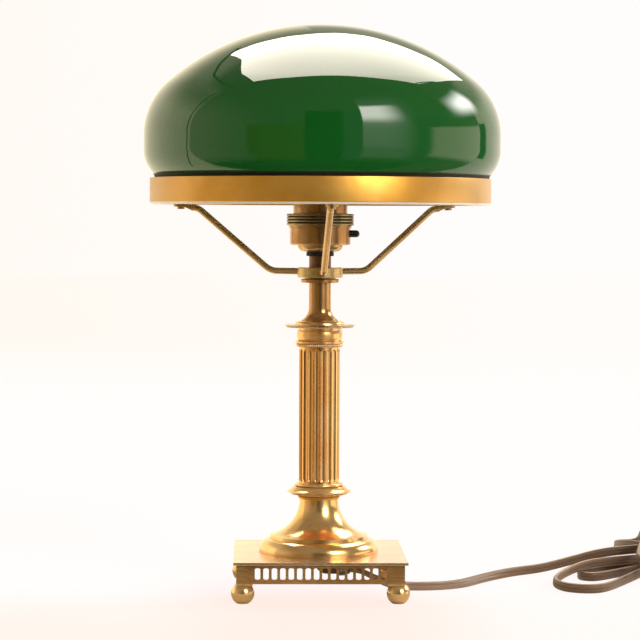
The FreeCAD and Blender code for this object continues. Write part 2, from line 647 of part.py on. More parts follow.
def build_neck():
    disc = turned("drip_disc", [
        ("boreOver", "discBottom"),
        ("discWidth / 2", "discBottom"),
        ("discWidth / 2", "discTop"),
        ("discStep / 2", "discTop"),
        ("discStep / 2", "neckBottom"),
        ("boreOver", "neckBottom"),
    ])
    notch = new_sketch(disc, "XY_Plane", "discBottom - 0.5")
    outline(notch, [("discWidth / 2 - 0.55", "0"), ("discWidth / 2 + 0.4", "-0.7"),
                    ("discWidth / 2 + 0.4", "0.7")])
    around(disc, extrude(disc, notch, "discThickness + 1", "Pocket", reverse=True), "discNotches")

    foot = "neckBottom + neckFootHeight"
    turned("neck", [
        ("boreOver", "neckBottom"),
        ("neckFoot / 2", "neckBottom"),
        ("neckFoot / 2", foot, "-" + upright_arc("neckFoot / 2 - neckWidth / 2", "neckFlare")),
        ("neckWidth / 2", foot + " + neckFlare"),
        ("neckWidth / 2", "neckTop"),
        ("boreOver", "neckTop"),
    ])
    turned("neck_collar", [
        ("boreOver", "neckTop"),
        ("collarWidth / 2 - 0.6", "neckTop"),
        ("collarWidth / 2", "neckTop + 0.6"),
        ("collarWidth / 2", "collarTop - 0.4"),
        ("collarWidth / 2 - 0.4", "collarTop"),
        ("grooveWidth / 2", "collarTop"),
        ("grooveWidth / 2", "hubBottom"),
        ("boreOver", "hubBottom"),
    ])
    hub = turned("arm_hub", [
        ("boreOver", "hubBottom"),
        ("hubWidth / 2 - 0.4", "hubBottom"),
        ("hubWidth / 2", "hubBottom + 0.4"),
        ("hubWidth / 2", "hubTop - 0.4"),
        ("hubWidth / 2 - 0.4", "hubTop"),
        ("boreOver", "hubTop"),
    ])
    hole = new_sketch(hub, "YZ_Plane", "hubWidth / 2 - armSocket - closeFit")
    circle(hole, "0", "armLevel", "armWidth / 2 + closeFit")
    cut = extrude(hub, hole, "armSocket * 2", "Pocket", reverse=True)
    around(hub, cut, "3")
    place(hub, turn=number("armTurn") - 90)


def build_arm(name, turn):
    """A bent rod that is hammered flat at its upper end, built along +X and then turned."""
    body = new_body(name)
    path = new_sketch(body, "XZ_Plane")
    rise = "(armTopLevel - armLevel)"
    run = "(armTopReach - armKneeReach)"
    slope = f"atan({rise} / {run})"
    knee, top = f"(armKneeRadius * tan({slope} / 2))", f"(armTopRadius * tan({slope} / 2))"
    route = [
        ("hubWidth / 2 - armSocket", "armLevel", None),
        (f"armKneeReach - {knee}", "armLevel", "armKneeRadius"),
        (f"armKneeReach + {knee} * cos({slope})", f"armLevel + {knee} * sin({slope})", None),
        (f"armTopReach - {top} * cos({slope})", f"armTopLevel - {top} * sin({slope})", "-armTopRadius"),
        (f"armTopReach + {top}", "armTopLevel", None),
        ("armRodEnd", "armTopLevel", None),
    ]
    open_path(path, route)
    start = new_sketch(body, "YZ_Plane", "hubWidth / 2 - armSocket")
    circle(start, "0", "armLevel", "armWidth / 2")
    rod = body.newObject("PartDesign::AdditivePipe", name + "_rod")
    rod.Profile = start
    rod.Spine = path
    rod.Mode = "Standard"
    doc.recompute()

    flare_start = new_sketch(body, "YZ_Plane", "armRodEnd - 0.5")
    slot(flare_start, "0", "armTopLevel", "armWidth - 0.1", "armWidth - 0.2")
    flare_end = new_sketch(body, "YZ_Plane", "padStart")
    slot(flare_end, "0", "ringBottom - padThickness / 2", "padWidth", "padThickness")
    flare = body.newObject("PartDesign::AdditiveLoft", name + "_flare")
    flare.Profile = flare_start
    flare.Sections = [flare_end]
    flare.Ruled = False
    doc.recompute()

    pad = new_sketch(body, "XY_Plane", "ringBottom - padThickness")
    half = "padWidth / 2"
    outline(pad, [("padStart - 1", f"-{half} + padThickness / 2"), ("padReach - " + half, f"-{half}", half),
                  ("padReach", "0", half), ("padReach - " + half, half),
                  ("padStart - 1", f"{half} - padThickness / 2")])
    circle(pad, "screwPlace", "0", "screwWidth / 2 + closeFit")
    extrude(body, pad, "padThickness")
    place(body, turn=turn)


def open_path(sketch, route):
    """Draws runs and arcs through (x, y, radius) points, each bound to its expressions."""
    spots = [Vector(number(x), number(y), 0) for x, y, radius in route]
    edges, ends, radii = [], [], []
    for place_, (here, there) in enumerate(zip(spots, spots[1:])):
        text = route[place_][2]
        if text is None:
            edges.append(Part.LineSegment(here, there))
            ends.append((1, 2))
            continue
        radius = number(text)
        chord = there - here
        rise = math.sqrt(radius ** 2 - (chord.Length / 2) ** 2)
        left = Vector(-chord.y, chord.x, 0).normalize()
        centre = (here + there) * 0.5 + left * math.copysign(rise, radius)
        begin, finish = (here, there) if radius > 0 else (there, here)
        angles = [math.atan2(spot.y - centre.y, spot.x - centre.x) for spot in (begin, finish)]
        edges.append(Part.ArcOfCircle(Part.Circle(centre, Vector(0, 0, 1), abs(radius)), *angles))
        ends.append((1, 2) if radius > 0 else (2, 1))
    sketch.addGeometry(edges, False)
    rules, formulas = [], []
    for count, (x, y, radius) in enumerate(route):
        edge, end = (count, ends[count][0]) if count < len(edges) else (count - 1, ends[-1][1])
        for axis, text in (("X", x), ("Y", y)):
            rules.append(Sketcher.Constraint("Distance" + axis, -1, 1, edge, end, number(text)))
            formulas.append(text)
        if radius:
            rules.append(Sketcher.Constraint("Radius", count, abs(number(radius))))
            formulas.append(radius.lstrip("-"))
        if 0 < count < len(edges):
            rules.append(Sketcher.Constraint(
                "Coincident", count - 1, ends[count - 1][1], count, ends[count][0]))
            formulas.append(None)
    sketch.addConstraint(rules)
    for count, text in enumerate(formulas):
        if text:
            sketch.setExpression(f"Constraints[{count}]", bound(text))


def build_ring():
    """The ring with the seat that the glass stands on."""
    ring = turned("shade_ring", [
        ("seatBore / 2", "ringBottom"),
        ("ringWidth / 2 - seatInset", "ringBottom"),
        ("ringWidth / 2 - seatInset", "seatTop"),
        ("ringWidth / 2", "seatTop"),
        ("ringWidth / 2", "bandTop"),
        ("ringWidth / 2 - ringWall", "bandTop"),
        ("ringWidth / 2 - ringWall", "seatTop"),
        ("seatBore / 2", "seatTop"),
    ])
    hole = new_sketch(ring, "XY_Plane", "ringBottom")
    circle(hole, "screwPlace", "0", "screwWidth / 2 + closeFit")
    around(ring, extrude(ring, hole, "seatThickness", "Pocket", reverse=True), "3")
    place(ring, turn=number("armTurn") - 90)


def build_arm_screws():
    """Three pan-head screws that go up through the arms' pads into the ring's seat."""
    body = new_body("arm_screws")
    shank = new_sketch(body, "XY_Plane", "ringBottom - padThickness")
    circle(shank, "screwPlace", "0", "screwWidth / 2")
    rod = extrude(body, shank, "padThickness + seatThickness - seatRecess")
    head = new_sketch(body, "XY_Plane", "ringBottom - padThickness - screwHeadHeight")
    circle(head, "screwPlace", "0", "screwHead / 2")
    cap = extrude(body, head, "screwHeadHeight")
    around(body, rod, "3").Originals = [rod, cap]
    place(body, turn=number("armTurn") - 90)


def build_glass():
    """The domed glass: a neck, a swelling, an upright belly, a shoulder and a crown."""
    neck, belly = "shadeNeck / 2", "shadeWidth / 2"
    low, high = "(bandTop + bellyBottom)", "(bandTop + bellyTop)"
    swell = upright_arc(f"{belly} - neckTurn", "bellyBottom - neckTurnHeight")
    apart = "(crownRadius - shoulderRadius)"
    crown = f"({high} - sqrt({apart}^2 - ({belly} - shoulderRadius)^2))"
    share = f"(({belly} - shoulderRadius) / {apart})"
    rise = f"(({high} - {crown}) / {apart})"
    inside = f"({neck} - glassWall)"
    inner_crown, inner_shoulder = "(crownRadius - glassWall)", "shoulderRadius - glassWall"
    inner_swell = f"({swell} - glassWall)"
    reach = f"({belly} - {swell})"
    turned("shade_glass", [
        (inside, "shadeBottom"),
        (neck, "shadeBottom"),
        (neck, "bandTop"),
        ("neckTurn", "bandTop + neckTurnHeight", swell),
        (belly, low),
        (belly, high, "shoulderRadius"),
        (f"crownRadius * {share}", f"{crown} + crownRadius * {rise}", "crownRadius"),
        ("0", f"{crown} + crownRadius"),
        ("0", f"{crown} + {inner_crown}", "-" + inner_crown),
        (f"{inner_crown} * {share}", f"{crown} + {inner_crown} * {rise}", "-(" + inner_shoulder + ")"),
        (f"{belly} - glassWall", high),
        (f"{belly} - glassWall", low, "-" + inner_swell),
        (inside, f"{low} - sqrt({inner_swell}^2 - ({inside} - {reach})^2)"),
    ])


def cross_hole(body, radius, level, reach):
    """A round hole along X, right through the body."""
    hole = new_sketch(body, "YZ_Plane")
    circle(hole, "0", level, radius)
    extrude(body, hole, f"2 * ({reach})", "Pocket", both_ways=True)


def build_holder():
    """The lampholder from its sleeve to its threaded ring, and what is inside it."""
    turned("holder_spacer", [("boreOver", "hubTop"), ("spacerWidth / 2", "hubTop"),
                             ("spacerWidth / 2", "gasketBottom"), ("boreOver", "gasketBottom")])
    turned("holder_gasket", [("boreOver", "gasketBottom"), ("gasketWidth / 2", "gasketBottom"),
                             ("gasketWidth / 2", "holderBottom"), ("boreOver", "holderBottom")])
    wall, bowl = "(capWidth / 2 - capWall)", "(bowlWidth / 2 - capWall)"
    foot = "(gasketWidth / 2)"
    cap = turned("holder_cap", [
        ("boreOver", "holderBottom"),
        (foot, "holderBottom", upright_arc("bowlWidth / 2 - gasketWidth / 2", "bowlHeight")),
        ("bowlWidth / 2", "capStep"),
        ("capWidth / 2 - 0.6", "capStep"),
        ("capWidth / 2", "capStep + 0.6"),
        ("capWidth / 2", "capTop"),
        (wall, "capTop"),
        (wall, "insulatorBottom"),
        (bowl, "insulatorBottom"),
        (bowl, "capStep"),
        (foot, "holderBottom + 2 * capWall"),
        ("boreOver", "holderBottom + 2 * capWall"),
    ])
    cross_hole(cap, "barWidth / 2 + closeFit", "barHeight", "capWidth / 2 + 1")

    top = "(capTop + skirtHeight)"
    turned("holder_skirt", [
        ("skirtWidth / 2 - capWall", "capTop"),
        ("bandWidth / 2", "capTop"),
        ("bandWidth / 2", "bandOver"),
        ("skirtWidth / 2", "bandOver"),
        ("skirtWidth / 2", top),
        ("skirtWidth / 2 - capWall", top),
    ])
    ridges = [("skirtWidth / 2", "bandOver")]
    root, pitch = "(clampRingWidth / 2 - ridgeDepth)", "clampRingHeight / 4"
    for ridge in range(4):
        for height, radius in ((0, root), (0.3, "clampRingWidth / 2"), (0.7, "clampRingWidth / 2")):
            ridges.append((radius, f"bandOver + {ridge + height} * {pitch}"))
    ridges.append((root, "bandOver + clampRingHeight"))
    ridges.append(("skirtWidth / 2", "bandOver + clampRingHeight"))
    turned("holder_ring", ridges)

    outside = "(shellBore + shellWall)"
    block = turned("holder_insulator", [
        ("wireWell / 2", "insulatorBottom"),
        ("skirtWidth / 2 - capWall", "insulatorBottom"),
        ("skirtWidth / 2 - capWall", "insulatorTop"),
        (f"{outside} + capWall", "insulatorTop"),
        (f"{outside} + capWall", "insulatorTop + shellHeight"),
        (outside, "insulatorTop + shellHeight"),
        (outside, "insulatorTop"),
        ("0", "insulatorTop"),
        ("0", "insulatorBottom + wireWellDepth"),
        ("wireWell / 2", "insulatorBottom + wireWellDepth"),
    ])
    cross_hole(block, "barWidth / 2 + closeFit", "barHeight", "skirtWidth / 2")
    hole = new_sketch(block, "XZ_Plane")
    circle(hole, "0", "barHeight", "terminalWidth / 2")
    extrude(block, hole, "skirtWidth", "Pocket", both_ways=True)
    turned("screw_shell", [
        ("shellBore", "insulatorTop"), (outside, "insulatorTop"),
        (outside, "insulatorTop + shellHeight"), ("shellBore", "insulatorTop + shellHeight"),
    ])


def build_inside():
    """The centre contact, the terminal screws and the switch bar."""
    body = new_body("centre_contact")
    strip = new_sketch(body, "XZ_Plane")
    foot, leg, rise = "contactWidth * 1.3", "contactWidth / 2", "contactRise"
    sheet = "contactSheet"
    outline(strip, [
        (f"-{foot}", "insulatorTop"), (f"-{leg}", "insulatorTop"),
        (f"-{leg}", f"insulatorTop + {rise} - {sheet}"), (leg, f"insulatorTop + {rise} - {sheet}"),
        (leg, "insulatorTop"), (foot, "insulatorTop"), (foot, f"insulatorTop + {sheet}"),
        (f"{leg} + {sheet}", f"insulatorTop + {sheet}"), (f"{leg} + {sheet}", f"insulatorTop + {rise}"),
        (f"-{leg} - {sheet}", f"insulatorTop + {rise}"), (f"-{leg} - {sheet}", f"insulatorTop + {sheet}"),
        (f"-{foot}", f"insulatorTop + {sheet}"),
    ])
    extrude(body, strip, "contactWidth", both_ways=True)

    screws = new_body("terminal_screws")
    face = "(skirtWidth / 2 - capWall)"
    for reverse, offset in ((True, face), (False, "-" + face)):
        shank = new_sketch(screws, "XZ_Plane", offset)
        circle(shank, "0", "barHeight", "terminalWidth / 2")
        extrude(screws, shank, "terminalLength", reverse=reverse)
        head = new_sketch(screws, "XZ_Plane", offset)
        circle(head, "0", "barHeight", "terminalHead / 2")
        extrude(screws, head, "capProud - terminalGap", reverse=not reverse)

    bar = new_body("switch_bar")
    profile = new_sketch(bar, "XZ_Plane")
    left, right, radius = "capWidth / 2 - 0.4", "capWidth / 2 + barShows", "barWidth / 2"
    outline(profile, [
        (f"-({left})", "barHeight"), (right, "barHeight", radius),
        (f"{right} - {radius}", f"barHeight + {radius}"), (f"-({left}) + 0.6", f"barHeight + {radius}"),
        (f"-({left})", f"barHeight + {radius} - 0.6"),
    ])
    revolve(bar, profile, axis="Edge1")


def build_bulb():
    """A clear bulb with a screw cap: the tip, its insulating ring, the cap and the glass."""
    ring_top, cap_bottom = "(bulbTip + tipHeight + 3)", "(bulbTip + tipHeight + 2)"
    neck_bottom = "(bulbTip + 25)"
    bore = "(bulbThread / 2 - threadDepth - 1)"
    turned("bulb_contact", [("0", "bulbTip"), ("tipWidth / 2 - 0.8", "bulbTip"),
                            ("tipWidth / 2", "bulbTip + tipHeight"), ("0", "bulbTip + tipHeight")])
    turned("bulb_insulator", [
        ("0", "bulbTip + tipHeight"), ("tipWidth / 2", "bulbTip + tipHeight"),
        (f"{bore} - 1", cap_bottom), (bore, cap_bottom), (bore, ring_top), ("0", ring_top),
    ])
    crest, root = "(bulbThread / 2)", "(bulbThread / 2 - threadDepth)"
    corners = [(bore, cap_bottom), (root, cap_bottom)]
    for turn in range(5):
        middle = f"({cap_bottom} + ({turn} + 0.5) * threadPitch)"
        corners += [(root, f"{middle} - threadPitch * 0.4"), (crest, f"{middle} - threadPitch * 0.12"),
                    (crest, f"{middle} + threadPitch * 0.12"), (root, f"{middle} + threadPitch * 0.4")]
    corners += [(root, neck_bottom), (bore, neck_bottom)]
    turned("bulb_cap", corners)

    neck, ball, wall = "(bulbNeck / 2)", "(bulbWidth / 2)", "bulbWall"
    middle = "(bulbTip + bulbMiddle)"
    up = f"({middle} - {neck_bottom})"
    hollow = f"(({neck}^2 + {up}^2 - {ball}^2) / (2 * ({ball} - {neck})))"
    share = f"(({neck} + {hollow}) / ({ball} + {hollow}))"
    drop = f"({up} / ({ball} + {hollow}))"
    inner = f"({ball} - {wall})"
    turned("bulb_glass", [
        (f"{neck} - {wall}", neck_bottom),
        (neck, neck_bottom, "-" + hollow),
        (f"{ball} * {share}", f"{middle} - {ball} * {drop}", ball),
        ("0", f"{middle} + {ball}"),
        ("0", f"{middle} + {inner}", "-" + inner),
        (f"{inner} * {share}", f"{middle} - {inner} * {drop}", f"({hollow} + {wall})"),
    ])


def build_lead():
    """The cord inside the tube, bent out under the plate and held by a saddle with two screws."""
    body = new_body("inner_lead")
    path = new_sketch(body, "XZ_Plane")
    top = "insulatorBottom + wireWellDepth"
    open_path(path, [
        ("0", top, None),
        ("0", "leadLevel + leadBend", "leadBend"),
        ("leadBend", "leadLevel", None),
        ("leadExit", "leadLevel", None),
    ])
    start = new_sketch(body, "XY_Plane", top)
    circle(start, "0", "0", "cordWidth / 2")
    lead = body.newObject("PartDesign::AdditivePipe", "inner_lead_pipe")
    lead.Profile = start
    lead.Spine = path
    lead.Mode = "Standard"

    saddle = new_body("cord_saddle")
    strap = new_sketch(saddle, "YZ_Plane", "saddlePlace - saddleWidth / 2")
    inner, outer = "cordWidth / 2", "(cordWidth / 2 + saddleSheet)"
    tab, level = "(cordWidth / 2 + saddleTab)", "plateBottom"
    outline(strap, [
        (f"-{tab}", f"{level} - saddleSheet"), (f"-{outer}", f"{level} - saddleSheet"),
        (f"-{outer}", "leadLevel", outer), ("0", f"leadLevel - {outer}", outer),
        (outer, "leadLevel"), (outer, f"{level} - saddleSheet"), (tab, f"{level} - saddleSheet"),
        (tab, level), (inner, level), (inner, "leadLevel", "-" + inner),
        ("0", f"leadLevel - {inner}", "-" + inner), (f"-{inner}", "leadLevel"), (f"-{inner}", level),
        (f"-{tab}", level),
    ])
    extrude(saddle, strap, "saddleWidth")
    screws = new_body("saddle_screws")
    spot = "(cordWidth / 2 + (saddleSheet + saddleTab) / 2)"
    shank = new_sketch(screws, "XY_Plane", "plateBottom - saddleSheet")
    head = new_sketch(screws, "XY_Plane", "plateBottom - saddleSheet - screwHeadHeight")
    drill = new_sketch(saddle, "XY_Plane", "plateBottom - saddleSheet")
    for side in (spot, "-" + spot):
        circle(shank, "saddlePlace", side, "saddleScrew / 2")
        circle(head, "saddlePlace", side, "saddleScrew")
        circle(drill, "saddlePlace", side, "saddleScrew / 2 + closeFit")
    extrude(screws, shank, "saddleSheet + plateThickness")
    extrude(screws, head, "screwHeadHeight")
    extrude(saddle, drill, "saddleSheet", "Pocket", reverse=True)


def hank_slot(along, column, layer):
    """A place in the tied bundle, along the hank from its tie, by column and layer."""
    lean = math.radians(number("hankLean"))
    aside = (column - 0.5) * number("hankPitch")
    return Vector(
        number("hankPlace") + along * math.cos(lean) - aside * math.sin(lean),
        number("hankBack") + along * math.sin(lean) + aside * math.cos(lean),
        number("tieLevel") + layer * number("hankPitch"),
    )


def hank_loop(start, finish, angle, reach, breadth, swing, turn, low, hold):
    """The corners of one loop outside the tie: two legs and a round tip of half its breadth. The loop
    points along the angle, which swings by some degrees on the way out, turns left or right, and
    sinks to the low level once it has held its height for a share of its reach."""
    frame = [(leg / 3 * (reach - breadth), breadth * math.sin(leg * math.pi / 6)) for leg in (1, 2)]
    for corner in (67.5, 22.5, -22.5, -67.5):
        spoke = breadth / math.cos(math.radians(22.5))
        frame.append((reach - breadth + spoke * math.cos(math.radians(corner)),
                      spoke * math.sin(math.radians(corner))))
    frame += [(along, -across) for along, across in reversed(frame[:2])]
    points = []
    for order, (along, across) in enumerate(frame):
        end, held = (start, hold[0]) if order < 4 else (finish, hold[1])
        sink = min(1.0, max(0.0, (along / reach - held) / 0.3))
        spin = FreeCAD.Rotation(Vector(0, 0, 1), angle + swing * along / reach)
        point = (start + finish) * 0.5 + spin.multVec(Vector(along, -turn * across, 0))
        point.z = end.z + (low - end.z) * sink
        points.append(point)
    return points


def cord_route():
    """The corners of the cord from its saddle to the plug. It crosses the floor to a hank, whose
    loops leave the tie by turns to the right and to the left."""
    floor = number("cordWidth / 2") + 0.1
    pitch = number("hankPitch")
    grip = number("hankGrip")
    exit_level = number("leadLevel")
    front, back = 0, 1
    points = [Vector(number("leadExit"), 0, exit_level), Vector(number("leadExit") + 7, 0, exit_level)]
    points += [Vector(x, y, floor + up) for x, y, up in (
        (41, 0.4, 6.4), (53, 1.2, 1.2), (66, 2.4, 0), (82, 3.6, 0), (96, 9.5, 0), (107, 20, 0),
        (117, 36, 0), (130, 54, 0), (146, 73, 0), (168, 85, 0.9), (190, 89.5, 5.9), (213, 91.5, 11.9),
        (236, 93, 14.2))]
    loops = (
        # side, angle, reach, half breadth, swing, turn, low level, height held, slot out, slot in
        (1, -36, 64, 14, 0, -1, 0, (0.2, 0.2), (front, 2), (front, 1)),
        (-1, 220, 124, 22, 13, 1, 0, (0.66, 0), (front, 1), (front, 0)),
        (1, 14, 72, 13, 0, 1, 0, (0, 0), (front, 0), (back, 0)),
        (-1, 216, 75, 9, 5, -1, 0, (0, 0.12), (back, 0), (back, 1)),
        (1, 60, 62, 14, 0, -1, 0, (0.2, 0.2), (back, 1), (back, 2)),
        (-1, 112, 62, 10, -14, -1, 1.3, (0.45, 0.65), (back, 2), (back, 3)),
        (1, 10, 60, 14, -18, -1, 1.35, (0.7, 0.65), (back, 3), (back, 4)),
        (-1, 255, 63, 12.2, 11, 1, 1.9, (0.13, 0.23), (back, 4), (front, 4)),
    )
    for side, angle, reach, breadth, swing, turn, low, hold, out, home in loops:
        points.append(hank_slot(-side * grip, *out))
        start, finish = hank_slot(side * grip, *out), hank_slot(side * grip, *home)
        points.append(start)
        points += hank_loop(start, finish, angle, reach, breadth, swing, turn, floor + low * pitch, hold)
    points += [hank_slot(-grip, front, 4), hank_slot(grip, front, 4)]
    plug_level = number("plugThickness / 2")
    points += [Vector(x, y, floor + up) for x, y, up in (
        (285, 91, 24), (299, 75, 17.5), (308, 58, 11), (313, 42, 4), (313, 27, 0), (311, 13, 0.2),
        (308.6, 1, 2))]
    points += [Vector(307, -8, plug_level), Vector(306.2, -15, plug_level)]
    return points


def rounded(points):
    """The route as straight runs with a tangent arc at each corner, and the tightest arc's radius."""
    edges, radii, here = [], [], points[0]
    for before, corner, after in zip(points, points[1:], points[2:]):
        back, on = before - corner, after - corner
        reach = 0.45 * min(back.Length, on.Length)
        back.normalize()
        on.normalize()
        first, last = corner + back * reach, corner + on * reach
        half_turn = (math.pi - back.getAngle(on)) / 2
        radius = reach / math.tan(half_turn)
        inward = (back + on).normalize()
        apex = corner + inward * (radius / math.cos(half_turn) - radius)
        edges.append(Part.LineSegment(here, first).toShape())
        edges.append(Part.Arc(first, apex, last).toShape())
        radii.append(radius)
        here = last
    edges.append(Part.LineSegment(here, points[-1]).toShape())
    return edges, radii


def build_cord():
    """The cord as two tubes that meet end to end: the stretch across the floor and the hank."""
    route = cord_route()
    joint = 12
    middle = (route[joint - 1] + route[joint]) * 0.5
    samples = []
    for name, corners in (("cord_run", route[:joint] + [middle]), ("cord_hank", [middle] + route[joint:])):
        edges, radii = rounded(corners)
        path = doc.addObject("Part::Feature", name + "_path")
        path.Shape = Part.Wire(edges)
        section = doc.addObject("Part::Circle", name + "_section")
        section.setExpression("Radius", bound("cordWidth / 2"))
        heading = FreeCAD.Rotation(Vector(0, 0, 1), corners[1] - corners[0])
        section.Placement = FreeCAD.Placement(corners[0], heading)
        tube = doc.addObject("Part::Sweep", name)
        tube.Label = name
        tube.Sections = [section]
        tube.Spine = (path, [])
        tube.Solid = True
        parts.append(tube)
        samples += path.Shape.discretize(Distance=2.5)
        print(name, "length", round(path.Shape.Length), "tightest bends",
              [round(radius, 1) for radius in sorted(radii)[:4]])
    away = int(4 * number("cordWidth") / 2.5)
    gap, spot = min(((one - other).Length, tuple(one)) for place_, one in enumerate(samples)
                    for other in samples[place_ + away:])
    print("least gap between the cord's turns", round(gap - number("cordWidth"), 2), "at",
          [round(value) for value in spot])
    return route


def build_tie():
    """A flat band round the hank's waist."""
    body = new_body("cord_tie")
    sketch = new_sketch(body, "YZ_Plane")
    low, high = "tieLevel", "(tieLevel + 4 * hankPitch)"
    side = "hankPitch / 2"
    for radius in ("(cordWidth / 2 + tieFit + tieSheet)", "(cordWidth / 2 + tieFit)"):
        outline(sketch, [
            (f"{side} + {radius}", low), (f"{side} + {radius}", high, radius),
            (side, f"{high} + {radius}"), (f"-{side}", f"{high} + {radius}", radius),
            (f"-{side} - {radius}", high), (f"-{side} - {radius}", low, radius),
            (f"-{side}", f"{low} - {radius}"), (side, f"{low} - {radius}", radius),
        ])
    extrude(body, sketch, "tieWidth", both_ways=True)
    place(body, "hankPlace", "hankBack", turn=number("hankLean"))


def build_plug(route):
    """A flat two-pin plug with a tapered collar, in line with the cord's end."""
    heading = route[-1] - route[-2]
    turn = math.degrees(math.atan2(heading.y, heading.x))
    seat = FreeCAD.Placement(route[-1], FreeCAD.Rotation(Vector(0, 0, 1), turn))
    body = new_body("plug_body")
    sections = []
    for distance, long, wide in (("0", "cordWidth + 2", "cordWidth + 1.9"),
                                 ("plugCollar", "plugCollarWidth", "plugThickness - 3"),
                                 ("plugCollar + plugShoulder", "plugBodyWidth", "plugThickness"),
                                 ("plugCollar + plugLength", "plugBodyWidth", "plugThickness")):
        section = new_sketch(body, "YZ_Plane", distance)
        slot(section, "0", "0", long, wide)
        sections.append(section)
    for first, last in zip(sections, sections[1:]):
        loft = body.newObject("PartDesign::AdditiveLoft", "plug_body_loft")
        loft.Profile = first
        loft.Sections = [last]
        loft.Ruled = True
        doc.recompute()
    face = "(plugCollar + plugLength)"
    holes = new_sketch(body, "YZ_Plane", face)
    pins = new_body("plug_pins")
    shanks = new_sketch(pins, "YZ_Plane", f"{face} - plugPinRoot")
    free = new_sketch(pins, "YZ_Plane", face)
    for side in ("plugPinSpacing / 2", "-plugPinSpacing / 2"):
        circle(holes, side, "0", "plugRootWidth / 2")
        circle(shanks, side, "0", "plugRootWidth / 2")
        circle(free, side, "0", "plugPinWidth / 2")
    extrude(body, holes, "plugPinRoot", "Pocket")
    extrude(pins, shanks, "plugPinRoot")
    extrude(pins, free, "plugPinLength")
    body.Placement = seat
    pins.Placement = seat


build_plate()
build_gallery()
build_posts_and_feet()
build_tube()
build_dome()
build_column()
build_neck()
for arm, turn in (("arm_front", -90), ("arm_right", 30), ("arm_left", 150)):
    build_arm(arm, number("armTurn") + turn)
build_ring()
build_arm_screws()
build_glass()
build_holder()
build_inside()
build_bulb()
build_lead()
cord = build_cord()
build_tie()
build_plug(cord)

doc.recompute()
faults = [item.Name for item in doc.Objects if "Invalid" in item.State or "Error" in item.State]
if faults:
    raise SystemExit("these objects failed: " + ", ".join(faults))
os.makedirs("parts", exist_ok=True)
for part in parts:
    if part.Shape.isNull() or not part.Shape.isValid():
        raise SystemExit(part.Label + " has no valid shape")
    part.Shape.exportStep(f"parts/{part.Label}.step")
    print(part.Label, round(part.Shape.Volume, 1), len(part.Shape.Solids), "solids")
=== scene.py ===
import math

import bpy
from mathutils import Euler, Matrix, Vector, noise


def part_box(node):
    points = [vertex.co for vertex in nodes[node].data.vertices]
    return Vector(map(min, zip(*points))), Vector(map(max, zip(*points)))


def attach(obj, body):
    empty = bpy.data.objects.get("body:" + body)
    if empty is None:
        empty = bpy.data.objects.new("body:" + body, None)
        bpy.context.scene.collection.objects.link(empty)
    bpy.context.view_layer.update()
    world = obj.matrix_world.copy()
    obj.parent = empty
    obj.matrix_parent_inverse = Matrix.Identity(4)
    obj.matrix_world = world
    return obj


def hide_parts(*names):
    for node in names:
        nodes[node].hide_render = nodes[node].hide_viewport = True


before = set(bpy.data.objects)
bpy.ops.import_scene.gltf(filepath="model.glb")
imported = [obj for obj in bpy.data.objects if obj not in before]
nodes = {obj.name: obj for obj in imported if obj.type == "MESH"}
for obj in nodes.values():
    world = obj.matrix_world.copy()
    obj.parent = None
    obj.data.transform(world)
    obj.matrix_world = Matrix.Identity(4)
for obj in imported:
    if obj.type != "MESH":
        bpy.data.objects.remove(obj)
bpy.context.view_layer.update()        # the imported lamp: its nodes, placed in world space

mm = 0.001
print("frame loaded:", len(nodes), "nodes")


# what the pieces are made with

def linkNew(thing):
    bpy.context.scene.collection.objects.link(thing)
    return thing


def meshPiece(name, points, faces, materials, angle=35):
    mesh = bpy.data.meshes.new(name)
    mesh.from_pydata(points, [], faces)
    for material in materials:
        mesh.materials.append(material)
    mesh.shade_smooth()
    mesh.set_sharp_from_angle(angle=math.radians(angle))
    return linkNew(bpy.data.objects.new(name, mesh))


def boxOf(node):      # a round node's lowest and highest place and its radius, in millimetres
    low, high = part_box(node)
    return low.z / mm, high.z / mm, high.x / mm


def arcPoints(start, finish, radius, steps):      # in (r, z), turning left for a positive radius
    (ax, ay), (bx, by) = start, finish
    chord = math.hypot(bx - ax, by - ay)
    rise = math.sqrt(max(radius ** 2 - chord ** 2 / 4, 0)) * (1 if radius > 0 else -1)
    cx = (ax + bx) / 2 - (by - ay) / chord * rise
    cy = (ay + by) / 2 + (bx - ax) / chord * rise
    first = math.atan2(ay - cy, ax - cx)
    sweep = 2 * math.asin(min(1, chord / 2 / abs(radius))) * (1 if radius > 0 else -1)
    return [(cx + abs(radius) * math.cos(first + sweep * step / steps),
             cy + abs(radius) * math.sin(first + sweep * step / steps)) for step in range(steps + 1)]


def onCircle(radius, step, steps, height):      # millimetres round the lamp's axis, as a point in metres
    turn = 2 * math.pi * step / steps
    return (radius * math.cos(turn) * mm, radius * math.sin(turn) * mm, height * mm)


def spinProfile(profile, steps, closed=True):      # an outline in (r, z), turned round the lamp's axis
    points, rings = [], []
    for radius, height in profile:
        if radius < 1e-6:
            rings.append([len(points)] * steps)
            points.append((0, 0, height * mm))
            continue
        rings.append(list(range(len(points), len(points) + steps)))
        points += [onCircle(radius, step, steps, height) for step in range(steps)]
    faces, owner = [], []
    last = len(profile) if closed else len(profile) - 1
    for place in range(last):
        low, high = rings[place], rings[(place + 1) % len(profile)]
        for step in range(steps):
            after = (step + 1) % steps
            loop = [low[step], low[after], high[after], high[step]]
            loop = [corner for at, corner in enumerate(loop) if corner != loop[at - 1]]
            if len(loop) > 2:
                faces.append(loop)
                owner.append(place)
    return points, faces, owner


# what the finishes are made with

def startMaterial(name, settings):
    material = bpy.data.materials.new(name)
    material.use_nodes = True
    shader = material.node_tree.nodes["Principled BSDF"]
    for socket, value in settings.items():
        shader.inputs[socket].default_value = value
    return material, shader


